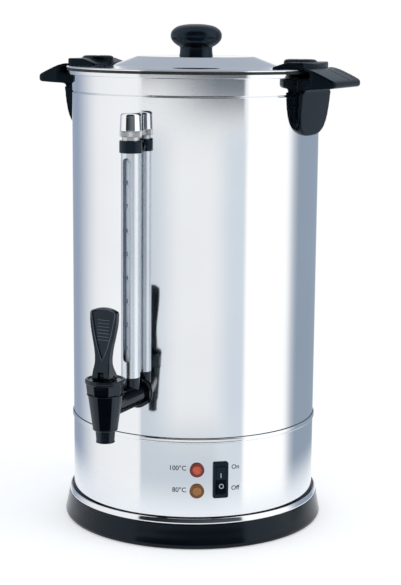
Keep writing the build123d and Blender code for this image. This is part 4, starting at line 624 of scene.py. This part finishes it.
rim_curve = bpy.data.curves.new("petal_rim", "CURVE")
rim_curve.dimensions = "3D"
rim_line = rim_curve.splines.new("POLY")
rim_line.points.add(len(petal) - 1)
for point, (x, z) in zip(rim_line.points, petal):
    grown = 1 + RIM_OUT / max(hypot(x, z - PETAL_MID), 1.0)
    point.co = (x * grown * MM, (paddle_y(z) + RIM_SINK) * MM, (PETAL_MID + (z - PETAL_MID) * grown) * MM, 1)
rim_line.use_cyclic_u = True
rim_curve.bevel_depth = RIM_R * MM
rim_curve.bevel_resolution = 3

ridges = []
for k in range(RIDGES):
    ridge_z = RIDGE_TOP - RIDGE_PITCH * k
    face = paddle_y(ridge_z)
    outline = rectangle(-RIDGE_HALF_W, face + RIDGE_FRONT, RIDGE_HALF_W, face + RIDGE_BACK)
    ridges.append(prism_mesh("ridge", outline, 2, ridge_z - RIDGE_HALF_H, ridge_z + RIDGE_HALF_H))
paddle = softened([cut(nodes["tap_lever"].data.copy(), [dish])], 0.36, 3, "paddle")
# Rim and ridges in the lighter grey finish: painted highlight
add_piece("petal_rim", baked(rim_curve), "tap_lever", "painted_edge_highlight", (), 60)
add_piece("petal_ridges", joined(ridges, "petal_ridges"), "tap_lever", "painted_edge_highlight", (), 30)
add_piece("paddle", paddle, "tap_lever", "glossy_black", ["tap_lever"], 60)

# Closing spring: sits on the valve and moves with it, with a mesh of its own
spring = nodes["valve_spring"].data.copy()
closing_spring = add_piece("closing_spring", spring, "valve", "bare_steel",
                           ["valve_spring"], 40)
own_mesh(closing_spring)

# ---------------------------------------------------------------- sight gauge
# Tube with a long front slot that has round ends
SLOT_HALF, SLOT_LOW, SLOT_HIGH = 4.1, 191.7, 378.3
SLOT_MID_RHO, SLOT_HALF_DEEP = 148.0, 7.0
window = [prism_mesh("slot", rectangle(-SLOT_HALF, SLOT_LOW, SLOT_HALF, SLOT_HIGH), 1,
                     -SLOT_MID_RHO - SLOT_HALF_DEEP, -SLOT_MID_RHO + SLOT_HALF_DEEP)]
window += [rod_mesh("slot_end", 0, SLOT_MID_RHO, end, SLOT_HALF, SLOT_HALF_DEEP)
           for end in (SLOT_LOW, SLOT_HIGH)]
tube = cut(lathe_mesh("gauge_tube", rectangle(7.9, 172.0, 9.1, 389.3), 128, GAUGE), window)
add_piece("gauge_tube", tube, "urn", "aluminium", ["gauge_shield"], 40)
true_normals(tube, lambda co: Vector((co.x, co.y - GAUGE[1] * MM, 0)).normalized(), 12)

# Domed cap, and under it the gland nut with its knurled ring
cap_profile = ([(0.0, 407.5), (10.2, 407.5), (10.35, 407.6), (10.4, 407.8), (10.39, 408.0), (10.36, 408.6),
                (10.1, 413.6), (9.8, 419.4), (9.74, 420.6)]
               + arc(6.85, 421.3, 2.9, 3, 90, 12) + [(0.0, 424.2)])
add_piece("gauge_dome", lathe_mesh("gauge_dome", cap_profile, 128, GAUGE), "urn", "chrome",
          ["gauge_cap"], 60)

KNURL_TEETH, KNURL_DEEP, KNURL_FROM_R = 60, 0.35, 9.5
gland_profile = [(5.1, 398.5), (8.2, 398.5), (8.2, 402.0), (9.9, 402.0), (10.4, 402.4), (10.5, 402.7),
                 (10.5, 403.0), (10.5, 404.7), (10.5, 406.5), (10.5, 406.8), (10.4, 407.1), (9.9, 407.5),
                 (5.1, 407.5)]
gland = lathe_mesh("gauge_nut", gland_profile, 240, GAUGE)
for v in gland.vertices:
    away = Vector((v.co.x, v.co.y - GAUGE[1] * MM, 0))
    if away.length > KNURL_FROM_R * MM:
        tooth = 0.5 + 0.5 * cos(KNURL_TEETH * atan2(away.y, away.x))
        v.co -= away.normalized() * KNURL_DEEP * MM * tooth
add_piece("gauge_nut", gland, "urn", "bare_steel", ["gauge_gland"], 40)


# ---------------------------------------------------------------- scale, words and signs
CAP_SHARE = 0.69            # height of a capital as a share of the lettering's size
STROKE_GROWTH = 0.08
LONGEST_EDGE = 1.2          # longer ones are divided, so that lettering bends with its surface
INK_TOP, INK_UNDER = 0.12, -0.05


def wrapped_text(name, words, high, look, place, align="LEFT", body="urn"):
    """Raised lettering of a cap height, laid on a surface by place(x, y, lift) in millimetres."""
    curve = bpy.data.curves.new(name, "FONT")
    curve.body = words
    curve.align_x = align
    curve.size = high / CAP_SHARE
    curve.offset = STROKE_GROWTH
    bm = bmesh.new()
    bm.from_mesh(baked(curve))
    bmesh.ops.triangulate(bm, faces=bm.faces)
    bmesh.ops.subdivide_edges(bm, edges=[e for e in bm.edges if e.calc_length() > LONGEST_EDGE], cuts=1)
    made = bmesh.ops.extrude_face_region(bm, geom=list(bm.faces))
    lifted = {g for g in made["geom"] if isinstance(g, bmesh.types.BMVert)}
    for v in bm.verts:
        v.co = place(v.co.x, v.co.y, INK_TOP if v in lifted else INK_UNDER) * MM
    add_piece(name, as_solid(bm, name), body, look, (), 30)


def on_band(azimuth, height):
    """Lays lettering on the control band, from an azimuth and a height."""
    def place(x, y, lift):
        return outward(azimuth + degrees(x / WALL_R)) * (WALL_R + lift) + Vector((0, 0, height + y))
    return place


def on_rocker(height):
    """Lays a sign on the rocker's dished face, from a height above its pivot, with the switch at rest."""
    pivot_rho, hollow, hollow_deep, half_high, tilt = 124.2, 3.6, 1.8, 13.65, radians(10)

    def place(x, y, lift):
        up = height + y
        away = hollow + hollow_deep * abs(up) / half_high + lift
        ahead = pivot_rho + away * cos(tilt) - up * sin(tilt)
        raised = SWITCH_Z + away * sin(tilt) + up * cos(tilt)
        return rightward(SWITCH_AZIMUTH) * x + outward(SWITCH_AZIMUTH) * ahead + Vector((0, 0, raised))
    return place


def on_glass(height):
    """Lays marks on the front of the gauge's glass, from a height."""
    glass_r = 5.0

    def place(x, y, lift):
        turn = x / glass_r
        return Vector(((glass_r + lift) * sin(turn), GAUGE[1] - (glass_r + lift) * cos(turn), height + y))
    return place


wrapped_text("boil_mark", "100\u00b0C", 4.6, "ink_grey", on_band(22.6, 78.1), "RIGHT")
wrapped_text("warm_mark", "80\u00b0C", 4.6, "ink_grey", on_band(22.6, 56.1), "RIGHT")
wrapped_text("on_mark", "On", 4.3, "ink_grey", on_band(43.0, 78.4))
wrapped_text("off_mark", "Off", 4.3, "ink_grey", on_band(43.0, 57.0))
wrapped_text("line_sign", "I", 4.4, "ink_pale", on_rocker(2.0), "CENTER", "rocker")
wrapped_text("ring_sign", "O", 4.4, "ink_pale", on_rocker(-8.4), "CENTER", "rocker")

LEVELS, FIRST_LEVEL, LEVEL_PITCH, FIGURE_UP = 9, 198.0, 22.6, 1.2
BAR_LEFT, BAR_RIGHT, BAR_HALF_H, BAR_Y, BAR_HALF_T = -3.2, 0.6, 0.3, -145.5, 0.2
for step in range(LEVELS):
    level = FIRST_LEVEL + LEVEL_PITCH * step
    outline = rectangle(BAR_LEFT, level - BAR_HALF_H, BAR_RIGHT, level + BAR_HALF_H)
    bar = prism_mesh("level_%d" % (step + 1), outline, 1, BAR_Y - BAR_HALF_T, BAR_Y + BAR_HALF_T)
    for v in bar.vertices:
        v.co = on_glass(0)(v.co.x / MM, v.co.z / MM, BAR_Y - v.co.y / MM) * MM
    add_piece("level_%d" % (step + 1), bar, "urn", "ink_blue", (), 30)
    wrapped_text("figure_%d" % (step + 1), str(step + 1), 3.8, "ink_blue", on_glass(level + FIGURE_UP),
                 "RIGHT")


# ---------------------------------------------------------------- shaders of the studio
def emptied(holder):
    """Node tree of a new world or material, without its first nodes."""
    holder.use_nodes = True
    holder.node_tree.nodes.clear()
    return holder.node_tree


def shader(tree, kind, colour, strength=None):
    """Shader node of a colour, and of a strength where it has one."""
    made = tree.nodes.new(kind)
    made.inputs["Color"].default_value = (*colour, 1)
    if strength is not None:
        made.inputs["Strength"].default_value = strength
    return made


def maths(tree, operation, first, second):
    """Math node on one socket and another, or on one and a number."""
    made = tree.nodes.new("ShaderNodeMath")
    made.operation = operation
    tree.links.new(first, made.inputs[0])
    if isinstance(second, float):
        made.inputs[1].default_value = second
    else:
        tree.links.new(second, made.inputs[1])
    return made.outputs[0]


def mixed(tree, share, first, second):
    """Mix of two shaders."""
    made = tree.nodes.new("ShaderNodeMixShader")
    for source, target in zip((share, first, second), made.inputs):
        tree.links.new(source, target)
    return made.outputs[0]


def eased(tree, value, start, end):
    """Soft step from 0 at start to 1 at end."""
    made = tree.nodes.new("ShaderNodeMapRange")
    made.interpolation_type = "SMOOTHSTEP"
    made.inputs["From Min"].default_value = start
    made.inputs["From Max"].default_value = end
    tree.links.new(value, made.inputs["Value"])
    return made.outputs["Result"]


def picture_rays(tree):
    """1 for rays from the camera, mirrored ones and ones passed on by glass, else 0."""
    rays = tree.nodes.new("ShaderNodeLightPath").outputs
    direct = maths(tree, "MAXIMUM", rays["Is Camera Ray"], rays["Is Glossy Ray"])
    return maths(tree, "MAXIMUM", direct, rays["Is Transmission Ray"])


# ---------------------------------------------------------------- world, cards, floor, lamps
CAMERA_AZIMUTH = 25.5
URN_MIDDLE = Vector((0, 0, 0.25))

world = bpy.data.worlds.new("studio")
scene.world = world
tree = emptied(world)
ambient = shader(tree, "ShaderNodeBackground", (0.93, 0.96, 1.0), 0.75).outputs[0]
white = shader(tree, "ShaderNodeBackground", (1, 1, 1), 1.0).outputs[0]
tree.links.new(mixed(tree, picture_rays(tree), ambient, white),
               tree.nodes.new("ShaderNodeOutputWorld").inputs["Surface"])


def stage_piece(name, bm, surface):
    """Part of the studio, from a bmesh and a function that builds its shader in a node tree."""
    mesh = as_mesh(bm, name)
    look = bpy.data.materials.new(name)
    tree = emptied(look)
    tree.links.new(surface(tree), tree.nodes.new("ShaderNodeOutputMaterial").inputs["Surface"])
    mesh.materials.append(look)
    made = bpy.data.objects.new(name, mesh)
    scene.collection.objects.link(made)
    return made


def card(name, across, up, colour, strength, soft, soft_up, reach=2.6):
    """Studio card or flag: a patch of a sphere round the urn that only reflections see.

    It spans azimuths across, counted from the camera and positive to its right, and elevations up. All
    angles are in degrees, also the widths of its soft edges, start and end; reach, in metres, is its radius.
    """
    columns, rows = 24, 12
    bm = bmesh.new()
    layer = bm.loops.layers.uv.new("UVMap")
    grid = []
    for i in range(rows + 1):
        rise = radians(up[0] + (up[1] - up[0]) * i / rows)
        sides = [radians(CAMERA_AZIMUTH + across[0] + (across[1] - across[0]) * j / columns)
                 for j in range(columns + 1)]
        grid.append([bm.verts.new((reach * cos(rise) * sin(side), -reach * cos(rise) * cos(side),
                                   URN_MIDDLE.z + reach * sin(rise))) for side in sides])
    for i in range(rows):
        for j in range(columns):
            face = bm.faces.new((grid[i][j], grid[i][j + 1], grid[i + 1][j + 1], grid[i + 1][j]))
            for loop, (u, v) in zip(face.loops, rectangle(j, i, j + 1, i + 1)):
                loop[layer].uv = (u / columns, v / rows)

    def surface(tree):
        place = tree.nodes.new("ShaderNodeSeparateXYZ")
        tree.links.new(tree.nodes.new("ShaderNodeTexCoord").outputs["UV"], place.inputs[0])
        total = None
        for axis, (low, high), (start, end) in (("X", across, soft), ("Y", up, soft_up)):
            for fade in (eased(tree, place.outputs[axis], 0.0, start / (high - low)),
                         eased(tree, place.outputs[axis], 1.0, 1.0 - end / (high - low))):
                total = fade if total is None else maths(tree, "MULTIPLY", total, fade)
        clear = tree.nodes.new("ShaderNodeBsdfTransparent").outputs[0]
        return mixed(tree, total, clear, shader(tree, "ShaderNodeEmission", colour, strength).outputs[0])

    made = stage_piece(name, bm, surface)
    made.visible_camera = False
    made.visible_diffuse = False
    made.visible_shadow = False
    made.visible_volume_scatter = False
    made.visible_transmission = False


WHITE, COOL, SHADE, DIM = (1.0, 1.0, 1.0), (0.86, 0.93, 1.0), (0.75, 0.86, 1.0), (0.7, 0.8, 1.0)
card("front_gap", (-51, 46.5), (-0.9, 75), DIM, 0.03, (2.5, 2.5), (2, 12), 6.3)
card("front_shade", (-40, 46), (-2.6, 30), SHADE, 0.20, (65, 3), (2.2, 30), 6.2)
card("left_haze", (-51, -10), (-25, -1.8), COOL, 0.80, (1.5, 35), (3, 1.5), 6.1)
card("right_haze", (12, 47), (-25, -1.8), COOL, 0.88, (25, 2), (3, 1.5), 6.0)
card("low_haze", (-51, 46), (-25, -15.2), COOL, 0.77, (2, 30), (3, 2.2), 6.05)
card("front_low", (-60, 56), (-85, -22.5), DIM, 0.02, (4, 4), (3, 3), 6.2)
card("left_softbox", (-104, -51), (-40, 60), WHITE, 1.04, (32, 1.5), (10, 10))
card("right_softbox", (45.5, 102), (-60, 60), WHITE, 1.28, (4, 16), (10, 10))
card("left_flag", (-169, -95), (-70, 32), (0.66, 0.78, 1.0), 0.52, (8, 48), (10, 12), 2.8)
card("right_flag", (90, 169), (-70, 32), (0.68, 0.82, 1.0), 0.48, (22, 8), (10, 12), 2.8)
card("overhead", (100, 260), (7, 88), (0.80, 0.88, 1.0), 0.58, (20, 20), (11, 4), 2.9)

# Floor: a pale disc that fades out towards its edge
FLOOR_RADIUS, FLOOR_FADE_FROM, FLOOR_DROP, FLOOR_GLOW = 0.36, 0.18, 0.0002, 0.36
disc = bmesh.new()
bmesh.ops.create_circle(disc, cap_ends=True, segments=96, radius=FLOOR_RADIUS)


def floor_surface(tree):
    cover = shader(tree, "ShaderNodeBsdfDiffuse", (0.86, 0.87, 0.88))
    glow = shader(tree, "ShaderNodeEmission", (1, 1, 1))
    tree.links.new(maths(tree, "MULTIPLY", picture_rays(tree), FLOOR_GLOW), glow.inputs["Strength"])
    total = tree.nodes.new("ShaderNodeAddShader")
    tree.links.new(cover.outputs[0], total.inputs[0])
    tree.links.new(glow.outputs[0], total.inputs[1])
    length = tree.nodes.new("ShaderNodeVectorMath")
    length.operation = "LENGTH"
    tree.links.new(tree.nodes.new("ShaderNodeTexCoord").outputs["Object"], length.inputs[0])
    fade = eased(tree, length.outputs["Value"], FLOOR_FADE_FROM, FLOOR_RADIUS)
    return mixed(tree, fade, total.outputs[0], tree.nodes.new("ShaderNodeBsdfTransparent").outputs[0])


floor = stage_piece("floor", disc, floor_surface)
floor.location = (0, 0, -FLOOR_DROP)


def softbox(name, azimuth, height, distance, wide, high, power, colour=(1, 1, 1)):
    """Area lamp aimed at the urn's middle, azimuth counted from the camera; reflections don't see it."""
    data = bpy.data.lights.new(name, "AREA")
    data.shape = "RECTANGLE"
    data.size = wide
    data.size_y = high
    data.energy = power
    data.color = colour
    lamp = bpy.data.objects.new(name, data)
    lamp.location = outward(CAMERA_AZIMUTH + azimuth) * distance + Vector((0, 0, height))
    lamp.rotation_euler = (URN_MIDDLE - lamp.location).to_track_quat("-Z", "Y").to_euler()
    lamp.visible_glossy = False
    scene.collection.objects.link(lamp)


softbox("key", 70, 1.5, 2.2, 1.4, 1.6, 14)
softbox("fill", -75, 1.4, 2.4, 1.4, 1.6, 9, (0.93, 0.96, 1.0))

# ---------------------------------------------------------------- camera
# Found from the outlines of the tank, the ring and the lid in the picture's own 401 by 585 pixels
FOCAL_PX, PICTURE_HIGH = 1513.64, 585
PITCH, ROLL, YAW = radians(10.122), radians(0.485), radians(0.2386)
DISTANCE, HEIGHT = 1544.83, 507.70
forward = Vector((sin(YAW) * cos(PITCH), cos(YAW) * cos(PITCH), -sin(PITCH)))
level_right = Vector((cos(YAW), -sin(YAW), 0))
level_up = level_right.cross(forward)
right_hand = level_right * cos(ROLL) + level_up * sin(ROLL)
upright = level_right * -sin(ROLL) + level_up * cos(ROLL)
turn = Matrix.Rotation(radians(CAMERA_AZIMUTH), 3, "Z")
axes = Matrix((turn @ right_hand, turn @ upright, turn @ -forward)).transposed()
camera_data = bpy.data.cameras.new("camera")
camera_data.sensor_width = 36.0
camera_data.lens = FOCAL_PX / PICTURE_HIGH * camera_data.sensor_width
camera = bpy.data.objects.new("camera", camera_data)
camera.matrix_world = Matrix.Translation(turn @ Vector((0, -DISTANCE, HEIGHT)) * MM) @ axes.to_4x4()
scene.collection.objects.link(camera)
scene.camera = camera
scene.view_settings.view_transform = "Standard"
